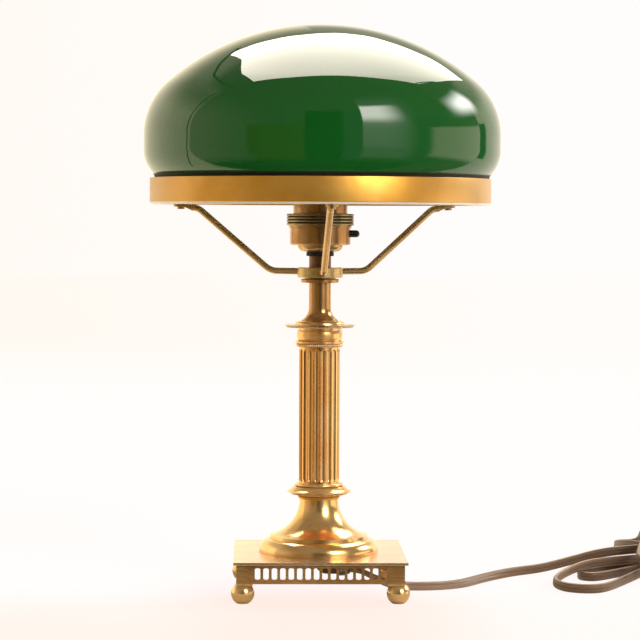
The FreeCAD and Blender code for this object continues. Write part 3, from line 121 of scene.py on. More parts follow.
def addNode(material, kind, sockets=None, **settings):
    node = material.node_tree.nodes.new("ShaderNode" + kind)
    for word, value in settings.items():
        setattr(node, word, value)
    for socket, value in (sockets or {}).items():
        if isinstance(value, bpy.types.NodeSocket):
            material.node_tree.links.new(value, node.inputs[socket])
        elif node.inputs[socket].type == "RGBA":
            node.inputs[socket].default_value = (*value, 1)
        else:
            node.inputs[socket].default_value = value
    return node


def calculate(material, operation, first, second=0.0):
    return addNode(material, "Math", {0: first, 1: second}, operation=operation).outputs[0]


def times(material, first, second):
    return calculate(material, "MULTIPLY", first, second)


def blendColour(material, share, first, second):
    return addNode(material, "Mix", {"Factor": share, 6: first, 7: second}, data_type="RGBA").outputs[2]


def spread(material, value, low, high, toLow=0.0, toHigh=1.0):
    node = addNode(material, "MapRange", {"Value": value, "From Min": low, "From Max": high,
                                          "To Min": toLow, "To Max": toHigh}, interpolation_type="SMOOTHSTEP")
    return node.outputs[0]


def noiseValue(material, vector, scale, detail=3.0, rough=0.55, fourth=None):
    sockets = {"Vector": vector, "Scale": scale, "Detail": detail, "Roughness": rough}
    if fourth is not None:
        sockets["W"] = fourth
    kind = "3D" if fourth is None else "4D"
    return addNode(material, "TexNoise", sockets, noise_dimensions=kind).outputs["Fac"]


def placeOn(material):      # the place on the piece, in metres
    return addNode(material, "TexCoord").outputs["Object"]


def cloudsOn(material, scale, detail):
    return noiseValue(material, placeOn(material), scale, detail)


def axesOn(material):
    return addNode(material, "SeparateXYZ", {0: placeOn(material)}).outputs


def relief(material, height, strength, distance, under=None):
    sockets = {"Height": height, "Strength": strength, "Distance": distance}
    if under is not None:
        sockets["Normal"] = under
    return addNode(material, "Bump", sockets).outputs[0]


def dress(material, shader, colour, rough=None, normal=None):
    for socket, value in (("Base Color", colour), ("Roughness", rough), ("Normal", normal)):
        if value is not None:
            material.node_tree.links.new(value, shader.inputs[socket])
    return material


def roundMarks(material, across, along, detail):      # marks run round the axis; the radius is a fourth axis
    axes = axesOn(material)
    flat = addNode(material, "CombineXYZ", {"X": axes["X"], "Y": axes["Y"]}).outputs[0]
    radius = addNode(material, "VectorMath", {0: flat}, operation="LENGTH").outputs["Value"]
    way = addNode(material, "VectorMath", {0: flat}, operation="NORMALIZE").outputs[0]
    sockets = {0: way, 1: (along, along, 0)}
    wayScaled = addNode(material, "VectorMath", sockets, operation="MULTIPLY").outputs[0]
    up = addNode(material, "CombineXYZ", {"Z": times(material, axes["Z"], across)}).outputs[0]
    place = addNode(material, "VectorMath", {0: wayScaled, 1: up}, operation="ADD").outputs[0]
    return noiseValue(material, place, 1.0, detail, 0.6, times(material, radius, across))


def straightMarks(material, scale, finer, detail):
    sockets = {"Vector": placeOn(material), "Scale": tuple(finer * axis for axis in scale)}
    return noiseValue(material, addNode(material, "Mapping", sockets).outputs[0], 1.0, detail, 0.6)


# what a brass finish has unless it says otherwise: how its marks run, how deep they are and how much they
# colour it, how deep its waves are, how much its spots show, and how much its crevices darken, as tarnish and
# as painted shade
commonBrass = dict(marks="round", markDepth=0.015, streak=0.12, wave=0.03, spots=0.3, crevice=0.3)
brassFinishes = {
    # the colour, the deeper colour, the colour of the tarnish and of the painted crevice shade, how much is
    # bare metal, and the roughness
    "polished": dict(light=(0.90, 0.62, 0.29), deep=(0.85, 0.50, 0.17), tarnishAndShade=(0.26, 0.12, 0.04),
                     bare=0.86, rough=0.19, markDepth=0.004, streak=0.10, wave=0.06, spots=0.35, crevice=0.4),
    "capital": dict(light=(0.94, 0.62, 0.27), deep=(0.90, 0.50, 0.16), tarnishAndShade=(0.26, 0.12, 0.04),
                    bare=0.70, rough=0.20, markDepth=0.004, streak=0.10, wave=0.05, spots=0.35, crevice=0.35),
    "column": dict(light=(1.0, 0.66, 0.33), deep=(0.95, 0.52, 0.18), tarnishAndShade=(0.26, 0.08, 0.02),
                   bare=0.90, rough=0.18, marks="up", markDepth=0.02, streak=0.3, spots=0.5, crevice=0.55),
    "neck": dict(light=(0.50, 0.29, 0.11), deep=(0.42, 0.20, 0.06), tarnishAndShade=(0.20, 0.09, 0.03),
                 bare=0.80, rough=0.20, wave=0.05, spots=0.5, crevice=0.5),
    "satin": dict(light=(0.85, 0.455, 0.090), deep=(0.76, 0.36, 0.045), tarnishAndShade=(0.34, 0.17, 0.06),
                  bare=0.75, rough=0.36, spots=0.35),
    "plate": dict(light=(0.82, 0.59, 0.39), deep=(0.76, 0.50, 0.29), tarnishAndShade=(0.26, 0.14, 0.06),
                  bare=0.80, rough=0.24, marks="side", markDepth=0.006, wave=0.04, crevice=0.5),
    "strip": dict(light=(0.66, 0.38, 0.14), deep=(0.48, 0.25, 0.08), tarnishAndShade=(0.15, 0.07, 0.03),
                  bare=0.80, rough=0.26, marks="side", markDepth=0.02, streak=0.2, wave=0.05, spots=0.5,
                  crevice=0.5),
    "aged": dict(light=(0.50, 0.28, 0.11), deep=(0.34, 0.15, 0.045), tarnishAndShade=(0.08, 0.035, 0.015),
                 bare=0.85, rough=0.22, marks="up", markDepth=0.02, streak=0.5, wave=0.12, spots=0.9,
                 crevice=0.6),
    "bronze": dict(light=(0.40, 0.31, 0.16), deep=(0.26, 0.19, 0.09), tarnishAndShade=(0.06, 0.04, 0.02),
                   bare=0.90, rough=0.28, markDepth=0.02, wave=0.04, spots=0.7, crevice=0.9),
    "arm": dict(light=(0.56, 0.38, 0.17), deep=(0.46, 0.28, 0.10), tarnishAndShade=(0.22, 0.12, 0.05),
                bare=0.85, rough=0.24, marks="none", markDepth=0.005, streak=0.1, wave=0.04, spots=0.2),
    "hub": dict(light=(0.64, 0.46, 0.21), deep=(0.54, 0.37, 0.14), tarnishAndShade=(0.22, 0.13, 0.06),
                bare=0.80, rough=0.28),
    # painted highlight: a pale greyish brass for the disc's lower outer rim
    "rim": dict(light=(0.62, 0.46, 0.33), deep=(0.50, 0.36, 0.24), tarnishAndShade=(0.26, 0.16, 0.10),
                bare=0.85, rough=0.26, marks="none", markDepth=0.005, streak=0.1),
    # painted highlight: a pale, partly unmetallic brass for the beads and pearls
    "bead": dict(light=(0.95, 0.78, 0.56), deep=(0.85, 0.62, 0.38), tarnishAndShade=(0.36, 0.22, 0.14),
                 bare=0.65, rough=0.26, marks="none", markDepth=0.005, streak=0.1, spots=0.2, crevice=0.12),
    # painted highlight: a pale, mostly unmetallic brass for the ring seat's rounded edge
    "edge": dict(light=(0.97, 0.90, 0.78), deep=(0.92, 0.82, 0.68), tarnishAndShade=(0.50, 0.36, 0.22),
                 bare=0.20, rough=0.34, marks="none", markDepth=0.005, streak=0.1, spots=0.2, crevice=0.0),
    "nipple": dict(light=(0.30, 0.17, 0.10), deep=(0.18, 0.09, 0.05), tarnishAndShade=(0.07, 0.035, 0.02),
                   bare=0.85, rough=0.36, markDepth=0.04, spots=0.9, crevice=0.6),
}
paintedBrassLight = {
    # painted light and shade: where a finish is made lighter or darker along an axis: the axis, from, to, the
    # share and the colour
    "satin": [("X", -0.055, -0.125, 0.85, (0.40, 0.24, 0.09)),      # painted shade: the ring is darker at its left end
              ("X", 0.045, 0.125, 0.8, (0.64, 0.44, 0.20))],        # and painted light: paler at its right
    "column": [("X", 0.003, -0.011, 0.85, (0.93, 0.46, 0.13))],     # painted shade: redder and darker at its left side
    "aged": [("Z", 0.2475, 0.2455, 0.8, (0.74, 0.50, 0.25))],       # painted light: paler in the bowl under the cap
}
markScales = {"up": (1500, 1500, 60), "side": (70, 1300, 1300), "none": (260, 260, 260)}


def tarnishAndShade(material, look, clouds):      # tarnish spots, scattered thinly and gathered in clouds, and crevices found by ambient occlusion, darkened partly as tarnish and partly as painted shade
    specks = cloudsOn(material, 900, 2)
    veil = cloudsOn(material, 150, 3)
    gathered = times(material, spread(material, specks, 0.66, 0.74), spread(material, clouds, 0.50, 0.66))
    mixed = calculate(material, "ADD", times(material, clouds, 0.6), times(material, veil, 0.4))
    stain = times(material, spread(material, mixed, 0.58, 0.76), 0.45)
    spots = times(material, calculate(material, "MAXIMUM", gathered, stain), look["spots"])
    openness = addNode(material, "AmbientOcclusion", {"Distance": 0.0035}, samples=6).outputs["AO"]
    return calculate(material, "MAXIMUM", spots, spread(material, openness, 0.75, 0.25, 0.0, look["crevice"]))


def brass(name):
    look = {**commonBrass, **brassFinishes[name]}
    material, shader = startMaterial("brass_" + name, {"Metallic": look["bare"]})
    if look["marks"] == "round":
        marks = roundMarks(material, 1600, 2.2, 3)
        fine = roundMarks(material, 5200, 5.0, 2)
    else:
        marks = straightMarks(material, markScales[look["marks"]], 1, 3)
        fine = straightMarks(material, markScales[look["marks"]], 3, 2)
    clouds = cloudsOn(material, 34, 4)
    tarnishAndShadeShare = tarnishAndShade(material, look, clouds)
    body = blendColour(material, spread(material, clouds, 0.32, 0.68), look["light"], look["deep"])
    # painted light and shade along an axis
    for axis, low, high, most, tint in paintedBrassLight.get(name, []):
        share = spread(material, axesOn(material)[axis], low, high, 0.0, most)
        body = blendColour(material, share, body, tint)
    body = blendColour(material, spread(material, marks, 0.3, 0.75, 0.0, look["streak"]), body, look["deep"])
    # the tarnish colour goes on the spots and on the crevices; in the crevices it is partly tarnish and
    # partly painted shade
    colour = blendColour(material, tarnishAndShadeShare, body, look["tarnishAndShade"])
    gloss = spread(material, marks, 0.3, 0.7, look["rough"] - 0.03, look["rough"] + 0.04)
    rough = calculate(material, "ADD", gloss, times(material, tarnishAndShadeShare, 0.25))
    wave = relief(material, cloudsOn(material, 60, 2), look["wave"], 0.004)
    scored = relief(material, marks, look["markDepth"], 0.0004, wave)
    return dress(material, shader, colour, rough, relief(material, fine, look["markDepth"], 0.00015, scored))


def plainSurface(name, settings, light, deep, scale, depth, roughness, speck=0.0):
    # clouded colour, uneven gloss and a fine grain
    material, shader = startMaterial(name, settings)
    clouds = cloudsOn(material, scale, 4)
    grain = cloudsOn(material, scale * 24, 2)
    colour = blendColour(material, spread(material, clouds, 0.3, 0.7), light, deep)
    if speck:
        colour = blendColour(material, spread(material, grain, 0.62, 0.72, 0.0, speck), colour, deep)
    return dress(material, shader, colour, spread(material, clouds, 0.3, 0.7, *roughness),
                 relief(material, grain, depth, 0.0003))


def greenGlass():      # dark green glass over opal: a deep colour under a clear gloss
    material, shader = startMaterial("green_glass_outside", {"Metallic": 0.0, "IOR": 1.55})
    clouds = cloudsOn(material, 11, 2)
    seeds = cloudsOn(material, 700, 2)
    colour = blendColour(material, clouds, (0.0045, 0.095, 0.010), (0.0065, 0.115, 0.014))
    seedy = spread(material, seeds, 0.735, 0.76, 0.0, 0.3)
    colour = blendColour(material, seedy, colour, (0.06, 0.16, 0.07))
    neck = spread(material, axesOn(material)["Z"], 0.2958, 0.2940)      # painted shade: near black where it goes into the ring
    colour = blendColour(material, neck, colour, (0.006, 0.006, 0.001))
    shine = spread(material, cloudsOn(material, 90, 4), 0.35, 0.75, 0.010, 0.035)
    rough = calculate(material, "ADD", shine, times(material, neck, 0.6))
    return dress(material, shader, colour, rough,
                 relief(material, cloudsOn(material, 16, 2), 0.10, 0.004))


def opalGlass():
    material, shader = startMaterial("opal_glass_inside", {
        "Roughness": 0.16, "IOR": 1.5, "Subsurface Weight": 0.12, "Subsurface Radius": (0.004, 0.004, 0.003)})
    clouds = cloudsOn(material, 14, 3)
    colour = blendColour(material, clouds, (0.80, 0.80, 0.74), (0.70, 0.73, 0.65))
    wave = relief(material, cloudsOn(material, 40, 2), 0.08, 0.002)
    return dress(material, shader, colour, normal=wave)


def frostedGlass():
    material, shader = startMaterial("frosted_bulb_glass", {
        "IOR": 1.45, "Transmission Weight": 0.85, "Coat Weight": 0.6, "Coat Roughness": 0.05})
    clouds = cloudsOn(material, 60, 3)
    colour = blendColour(material, clouds, (0.93, 0.93, 0.91), (0.86, 0.86, 0.84))
    return dress(material, shader, colour, spread(material, clouds, 0.3, 0.7, 0.38, 0.5))


def cordPlastic():      # smoky brown flex: dark along the cores, paler where the edges let light through
    material, shader = startMaterial("cord_plastic", {
        "IOR": 1.45, "Coat Weight": 0.05, "Coat Roughness": 0.3, "Subsurface Weight": 0.15,
        "Subsurface Radius": (0.002, 0.001, 0.0006)})
    edge = addNode(material, "Attribute", attribute_name="flexPart").outputs["Fac"]
    across = axesOn(material)["X"]
    clouds = cloudsOn(material, 55, 4)
    streak = noiseValue(material, addNode(material, "TexCoord").outputs["UV"], 1.0, 3)
    ribs = calculate(material, "SINE", times(material, edge, 26.0))
    core = blendColour(material, clouds, (0.25, 0.145, 0.080), (0.36, 0.235, 0.145))
    for share, tint in (
            (spread(material, streak, 0.35, 0.7, 0.0, 0.55), (0.12, 0.062, 0.032)),
            (spread(material, across, 0.15, 0.07, 0.0, 0.6), (0.46, 0.31, 0.21)),       # painted light: paler by the lamp
            (spread(material, across, 0.17, 0.23, 0.0, 0.45), (0.11, 0.06, 0.034)),      # painted shade: darker in the hank
            (spread(material, ribs, 0.0, 1.0, 0.0, 0.45), (0.10, 0.052, 0.028))):
        core = blendColour(material, share, core, tint)
    pale = blendColour(material, clouds, (0.50, 0.34, 0.22), (0.40, 0.26, 0.16))
    colour = blendColour(material, spread(material, edge, 0.80, 1.0, 0.0, 0.8), core, pale)
    # painted shade: the groove between the two cores is darkened
    groove = spread(material, edge, 0.10, 0.0, 0.0, 0.55)
    colour = blendColour(material, groove, colour, (0.05, 0.024, 0.012))
    return dress(material, shader, colour, spread(material, streak, 0.3, 0.7, 0.42, 0.58),
                 relief(material, streak, 0.25, 0.0003))


plainFinishes = {
    # the material's name and settings, light and deep colour, size of its clouds, depth of its grain,
    # lowest and highest roughness, and how much its specks show
    "steel": ("plated_steel", {"Metallic": 1.0}, (0.50, 0.48, 0.44), (0.30, 0.28, 0.25),
              120, 0.15, (0.26, 0.42), 0.3),
    "nickel": ("nickel_plate", {"Metallic": 1.0}, (0.74, 0.71, 0.65), (0.58, 0.55, 0.49),
               160, 0.08, (0.14, 0.26), 0.2),
    "blackPlastic": ("black_plastic", {"Coat Weight": 0.3, "Coat Roughness": 0.15},
                     (0.020, 0.018, 0.017), (0.010, 0.009, 0.009), 180, 0.12, (0.22, 0.36)),
    "insulator": ("brown_insulator", {"Coat Weight": 0.5, "Coat Roughness": 0.1},
                  (0.075, 0.035, 0.018), (0.045, 0.022, 0.012), 140, 0.10, (0.2, 0.32), 0.3),
    "plug": ("plug_plastic", {"Coat Weight": 0.1, "Coat Roughness": 0.3},
             (0.085, 0.042, 0.022), (0.06, 0.03, 0.016), 160, 0.22, (0.38, 0.52)),
    "tie": ("tie_plastic", {"Specular IOR Level": 0.25},
            (0.024, 0.016, 0.011), (0.015, 0.010, 0.008), 200, 0.3, (0.5, 0.65)),
}
finishes = {name: brass(name) for name in brassFinishes}
finishes["greenGlass"] = greenGlass()
finishes["opalGlass"] = opalGlass()
finishes["bulbGlass"] = frostedGlass()
finishes["cord"] = cordPlastic()
for name, look in plainFinishes.items():
    finishes[name] = plainSurface(*look)
print("materials made:", len(finishes))

corners = ["front_left", "front_right", "back_left", "back_right"]
nodeFinishes = {
    "capital": ["saucer", "capital"],
    "polished": ["base_dome"] + [kind + corner for kind in ("corner_post_", "foot_") for corner in corners],
    "neck": ["neck", "neck_collar"],
    "hub": ["arm_hub"],
    "plate": ["base_plate"],
    "strip": ["gallery_" + side for side in ("front", "right", "back", "left")],
    "aged": ["holder_cap", "holder_skirt"],
    "bronze": ["holder_ring"],
    "nipple": ["holder_spacer"],
    "arm": ["arm_front", "arm_right", "arm_left", "arm_screws"],
    "steel": ["base_nut", "base_washer", "foot_studs", "saddle_screws", "cord_saddle", "lamp_tube",
              "terminal_screws"],
    "nickel": ["plug_pins", "screw_shell", "bulb_cap", "bulb_contact", "centre_contact"],
    "tie": ["cord_tie", "holder_gasket"],
    "blackPlastic": ["switch_bar", "bulb_insulator"],
    "insulator": ["holder_insulator"],
    "bulbGlass": ["bulb_glass"],
    "cord": ["inner_lead"],
    "plug": ["plug_body"],
}
for finish, names in nodeFinishes.items():
    for name in names:
        for place in nodes[name].material_slots:
            place.material = finishes[finish]


# the glass shade and its ring

shadeSizes = dict(neck=117.5, foot=275.3, bandTop=292.2, turn=118.0, turnTop=294.2, belly=125.7,
                  bellyLow=312.2, bellyHigh=322.2, shoulder=50.0, crown=166.3, wall=3.0,
                  lip=0.8, lipInset=0.6, lipLow=0.05,
                  swellSteps=14, innerSteps=10, shoulderSteps=26, crownSteps=40, around=160,
                  aside=1.0,      # it stands a little to the right in its ring
                  waver=0.00012, waverSize=14, waverMiddle=0.28)      # blown glass is never quite true


def shadeOutline(inset):
    size = shadeSizes
    belly, shoulder, crown = size["belly"] - inset, size["shoulder"] - inset, size["crown"] - inset
    neck, lip = size["neck"] - inset, size["foot"] + size["lip"]
    swell = ((size["belly"] - size["turn"]) ** 2 + (size["bellyLow"] - size["turnTop"]) ** 2)
    swell = swell / 2 / (size["belly"] - size["turn"])
    apart = size["crown"] - size["shoulder"]
    reach = size["belly"] - size["shoulder"]
    middle = size["bellyHigh"] - math.sqrt(apart ** 2 - reach ** 2)
    join = (crown * reach / apart, middle + crown * (size["bellyHigh"] - middle) / apart)
    if inset:
        radius = swell - inset
        across = size["belly"] - swell
        start = (neck, size["bellyLow"] - math.sqrt(radius ** 2 - (neck - across) ** 2))
        line = [(neck, lip), start]
        line += arcPoints(start, (belly, size["bellyLow"]), radius, size["innerSteps"])[1:]
    else:
        line = [(neck, lip), (neck, size["bandTop"]), (size["turn"], size["turnTop"])]
        line += arcPoints(line[-1], (belly, size["bellyLow"]), swell, size["swellSteps"])[1:]
    line += [(belly, (size["bellyLow"] + size["bellyHigh"]) / 2), (belly, size["bellyHigh"])]
    line += arcPoints(line[-1], join, shoulder, size["shoulderSteps"])[1:]
    return line + arcPoints(join, (0.0, middle + crown), crown, size["crownSteps"])[1:]


def buildShade():
    size = shadeSizes
    outer, inner = shadeOutline(0), shadeOutline(size["wall"])
    rim = [(size["neck"] - size["wall"] + size["lipInset"], size["foot"] + size["lipLow"]),
           (size["neck"] - size["lipInset"], size["foot"] + size["lipLow"])]
    points, faces, owner = spinProfile(outer + inner[::-1] + rim, size["around"])
    shade = meshPiece("shade_globe_glass", points, faces, [finishes["greenGlass"], finishes["opalGlass"]], 60)
    for face, place in zip(shade.data.polygons, owner):
        face.material_index = 1 if len(outer) <= place < len(outer) + len(inner) - 1 else 0
    for vertex in shade.data.vertices:
        away = Vector((vertex.co.x, vertex.co.y, vertex.co.z - size["waverMiddle"]))
        vertex.co += away.normalized() * noise.noise(vertex.co * size["waverSize"]) * size["waver"]
        vertex.co.x += size["aside"] * mm
    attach(shade, "shade")
    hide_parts("shade_glass")


ringSizes = dict(wall=1.25, seat=1.5, inset=0.7, bore=13.0, seatRound=0.7, lowRound=0.25, topRound=0.35,
                 groove=0.1, lip=0.15, flat=1.2, around=240)


def buildRing():
    size = ringSizes
    low, top, outer = boxOf("shade_ring")
    seatTop, edge, inner = low + size["seat"], outer - size["inset"], outer - size["wall"]
    curve = size["seatRound"]
    turns = [math.radians(turn) for turn in range(0, 91, 15)]
    profile = [(outer - size["bore"], low), (edge - curve - size["flat"], low)]
    profile += [(edge - curve + curve * math.sin(turn), low + curve - curve * math.cos(turn))
                for turn in turns]
    # the faces of the seat's rounded edge, which take the pale edge finish as a painted highlight
    rimFaces = range(1, len(profile) + 1)
    profile += [(edge, seatTop - size["groove"]), (edge + size["groove"], seatTop),
                (outer - size["lowRound"], seatTop), (outer, seatTop + size["lowRound"]),
                (outer, top - size["topRound"]), (outer - 0.4 * size["topRound"], top),
                (inner + size["lip"], top), (inner, top - size["lip"]), (inner, seatTop),
                (outer - size["bore"], seatTop)]
    points, faces, owner = spinProfile(profile, size["around"])
    ring = meshPiece("ring_turned", points, faces, [finishes["satin"], finishes["edge"]], 30)
    for face, place in zip(ring.data.polygons, owner):
        face.material_index = 1 if place in rimFaces else 0
    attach(ring, "lamp")
    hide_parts("shade_ring")


buildShade()
buildRing()
print("shade made")


# the fluted column, the bead rows and the beaded disc

columnSizes = dict(width=28.6, bottom=77.6, top=173.7, bore=22.4, plainLow=1.1, plainHigh=1.3, margin=0.25,
                   flutes=20, tool=3.5, depth=1.3, shore=0.12, fullness=0.9, perFlute=20,
                   endSteps=9, midSteps=12)


def columnLevels(low, high, halfWidth):      # closely spaced where the flutes end in a round
    steps, between = columnSizes["endSteps"], columnSizes["midSteps"]
    ends = [halfWidth * (1 - math.cos(math.pi / 2 * step / steps)) for step in range(steps + 1)]
    levels = [low + end for end in ends]
    levels += [low + halfWidth + (high - low - 2 * halfWidth) * step / between for step in range(1, between)]
    return levels + [high - end for end in ends[::-1]]


def fluteDepth(turn, height, low, high, halfWidth):
    size = columnSizes
    offset = (turn * size["flutes"] / (2 * math.pi)) % 1.0 - 0.5
    across = abs(offset) * 2 * math.pi * (size["width"] / 2) / size["flutes"]
    beyond = max(low + halfWidth - height, height - (high - halfWidth), 0.0)
    away = math.hypot(across, beyond)
    if away >= halfWidth:
        return 0.0
    share = away / halfWidth
    return size["depth"] * math.sqrt(1 - share ** 2) ** size["fullness"]


def buildColumn():
    size = columnSizes
    outside, toolRadius, around = size["width"] / 2, size["tool"] / 2, size["flutes"] * size["perFlute"]
    low, high = size["bottom"] + size["plainLow"], size["top"] - size["plainHigh"]
    halfWidth = math.sqrt(toolRadius ** 2 - (toolRadius - size["depth"]) ** 2) + size["shore"]
    rows = [(size["bottom"], False), (low - size["margin"], False)]
    rows += [(level, True) for level in columnLevels(low, high, halfWidth)]
    rows += [(high + size["margin"], False), (size["top"], False)]
    points, faces = [], []
    for height, cut in rows:
        for step in range(around):
            deep = fluteDepth(2 * math.pi * step / around, height, low, high, halfWidth) if cut else 0.0
            points.append(onCircle(outside - deep, step, around, height))
    base, top = len(points), (len(rows) - 1) * around
    for height in (size["bottom"], size["top"]):      # the bore
        points += [onCircle(size["bore"] / 2, step, around, height) for step in range(around)]
    afters = [(step, (step + 1) % around) for step in range(around)]
    for row in range(0, top, around):
        above = row + around
        faces += [[row + step, row + after, above + after, above + step] for step, after in afters]
    for step, after in afters:      # the bore and the two end faces
        faces.append([base + after, base + step, base + around + step, base + around + after])
        faces.append([step, base + step, base + after, after][::-1])
        faces.append([top + step, base + around + step, base + around + after, top + after])
    column = meshPiece("column_fluted", points, faces, [finishes["column"]], 40)
    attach(column, "lamp")
    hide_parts("fluted_column")


def beadAt(points, faces, centre, radius, tall=1.0, rings=6, sides=10):
    start = len(points)
    points.append((centre[0], centre[1], centre[2] - radius * tall))
    for ring in range(1, rings):
        tilt = math.pi * ring / rings
        for side in range(sides):
            turn = 2 * math.pi * side / sides
            points.append((centre[0] + radius * math.sin(tilt) * math.cos(turn),
                           centre[1] + radius * math.sin(tilt) * math.sin(turn),
                           centre[2] - radius * tall * math.cos(tilt)))
    points.append((centre[0], centre[1], centre[2] + radius * tall))
    last = len(points) - 1
    for side in range(sides):
        after = (side + 1) % sides
        faces.append([start, start + 1 + after, start + 1 + side])
        faces.append([last, last - sides + side, last - sides + after])
        for ring in range(rings - 2):
            low = start + 1 + ring * sides
            faces.append([low + side, low + after, low + sides + after, low + sides + side])


beadRows = {
    "foot_bead_ring": dict(name="bead_row_foot", beads=76, width=1.2, height=1.3, inset=0.7, finish="satin"),
    "capital_bead_ring": dict(name="bead_row_capital", beads=68, width=1.5, height=2.0, inset=0.15,
                              finish="bead"),
}
beadCore = dict(bore=5.2, cover=0.12, around=120)      # the plain ring that carries the beads


def buildBeadRow(node):      # round beads on a plain ring, in place of the source's notched ring
    size = beadRows[node]
    low, high, outer = boxOf(node)
    radius = outer - size["inset"]
    core, bore = radius - size["width"] * beadCore["cover"], beadCore["bore"]
    points, faces, _ = spinProfile([(bore, low), (core, low), (core, high), (bore, high)], beadCore["around"])
    plain = len(faces)
    for place in range(size["beads"]):
        centre = onCircle(radius, place, size["beads"], (low + high) / 2)
        beadAt(points, faces, centre, size["width"] / 2 * mm, size["height"] / size["width"])
    row = meshPiece(size["name"], points, faces, [finishes["satin"], finishes[size["finish"]]], 40)
    for face in row.data.polygons:
        face.material_index = 0 if face.index < plain else 1
    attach(row, "lamp")
    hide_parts(node)


saucerBeadSizes = dict(beads=104, radius=0.55, inset=3.1, lift=0.35)


def buildSaucerBeads():
    size = saucerBeadSizes
    low, _, outer = boxOf("saucer")
    radius = outer - size["inset"]
    points, faces = [], []
    for place in range(size["beads"]):
        beadAt(points, faces, onCircle(radius, place, size["beads"], low + size["lift"]), size["radius"] * mm)
    beads = meshPiece("saucer_beads", points, faces, [finishes["bead"]], 40)
    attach(beads, "lamp")


discSizes = dict(thickness=1.7, width=50.0, step=35.0, stepHeight=2.5, bore=5.15, flat=14.0, dish=0.05,
                 rim=[(2.6, 0.25), (0.9, 0.55), (0.0, 1.05), (0.0, 1.3)],      # in from the edge, and up
                 topRim=(0.7, 0.1), topFlat=3.5, hollow=0.5, hollowSteps=4, hollowShort=0.9, stepFoot=0.2,
                 stepShoulder=(0.9, 0.5), stepTop=1.6, pearl=1.2, pearlPlace=23.4, pearlLift=0.25, pearls=98,
                 rimFinish=(20, 0.2), around=144)


def buildDisc():
    size = discSizes
    edge, low = size["width"] / 2, boxOf("drip_disc")[0]
    top = low + size["thickness"]
    step, stepTop = size["step"] / 2, top + size["stepHeight"]
    profile = [(size["bore"], low), (size["flat"], low)]
    profile += [(edge - inward, low + up) for inward, up in size["rim"]]
    profile += [(edge - size["topRim"][0], top - size["topRim"][1]),
                (edge - size["topFlat"], top + size["dish"]), (step + size["stepFoot"], top + size["dish"])]
    for place in range(1, size["hollowSteps"] + 1):
        inward = size["hollow"] * (1 - math.cos(math.pi / 2 * place / size["hollowSteps"]))
        up = (size["stepHeight"] - size["hollowShort"]) * place / size["hollowSteps"]
        profile.append((step + size["stepFoot"] - inward, top + size["dish"] + up))
    profile += [(step - size["stepShoulder"][0], stepTop - size["stepShoulder"][1]),
                (step - size["stepTop"], stepTop), (size["bore"], stepTop)]
    points, faces, _ = spinProfile(profile, size["around"])
    plain = len(faces)
    for place in range(size["pearls"]):
        centre = onCircle(size["pearlPlace"], place, size["pearls"], low + size["pearlLift"])
        beadAt(points, faces, centre, size["pearl"] / 2 * mm)
    brasses = [finishes[name] for name in ("polished", "rim", "bead")]
    disc = meshPiece("disc_beaded", points, faces, brasses, 38)
    # the disc's lower outer rim takes the pale rim finish as a painted highlight
    outward, below = size["rimFinish"]
    for face in disc.data.polygons:
        if face.index >= plain:
            face.material_index = 2
        elif face.center.xy.length > outward * mm and face.center.z < (top + below) * mm:
            face.material_index = 1
    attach(disc, "lamp")
    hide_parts("drip_disc")


buildColumn()
for node in beadRows:
    buildBeadRow(node)
buildSaucerBeads()
buildDisc()
print("column, beads and disc made")


# the cord

cordSizes = dict(width=6.8, thickness=3.6, floor=3.45, tieLevel=4.1, pitch=7.1, grip=9.0, place=262.0,
                 back=99.5, lean=18.0, corner=22.5, sinkRun=0.3, smoothness=10)


def hankSlot(along, column, layer):
    lean = math.radians(cordSizes["lean"])
    aside = (column - 0.5) * cordSizes["pitch"]
    return Vector((cordSizes["place"] + along * math.cos(lean) - aside * math.sin(lean),
                   cordSizes["back"] + along * math.sin(lean) + aside * math.cos(lean),
                   cordSizes["tieLevel"] + layer * cordSizes["pitch"]))


def hankLoop(start, finish, angle, reach, breadth, swing, turn, low, hold):      # one loop, back to the tie
    frameCorners = [(leg / 3 * (reach - breadth), breadth * math.sin(leg * math.pi / 6)) for leg in (1, 2)]
    eighth = cordSizes["corner"]
    spoke = breadth / math.cos(math.radians(eighth))
    for corner in (3 * eighth, eighth, -eighth, -3 * eighth):
        frameCorners.append((reach - breadth + spoke * math.cos(math.radians(corner)),
                             spoke * math.sin(math.radians(corner))))
    frameCorners += [(along, -across) for along, across in reversed(frameCorners[:2])]
    points = []
    for order, (along, across) in enumerate(frameCorners):
        end, held = (start, hold[0]) if order < 4 else (finish, hold[1])
        sink = min(1.0, max(0.0, (along / reach - held) / cordSizes["sinkRun"]))
        spin = Matrix.Rotation(math.radians(angle + swing * along / reach), 3, "Z")
        point = (start + finish) * 0.5 + spin @ Vector((along, -turn * across, 0))
        point.z = end.z + (low - end.z) * sink
        points.append(point)
    return points


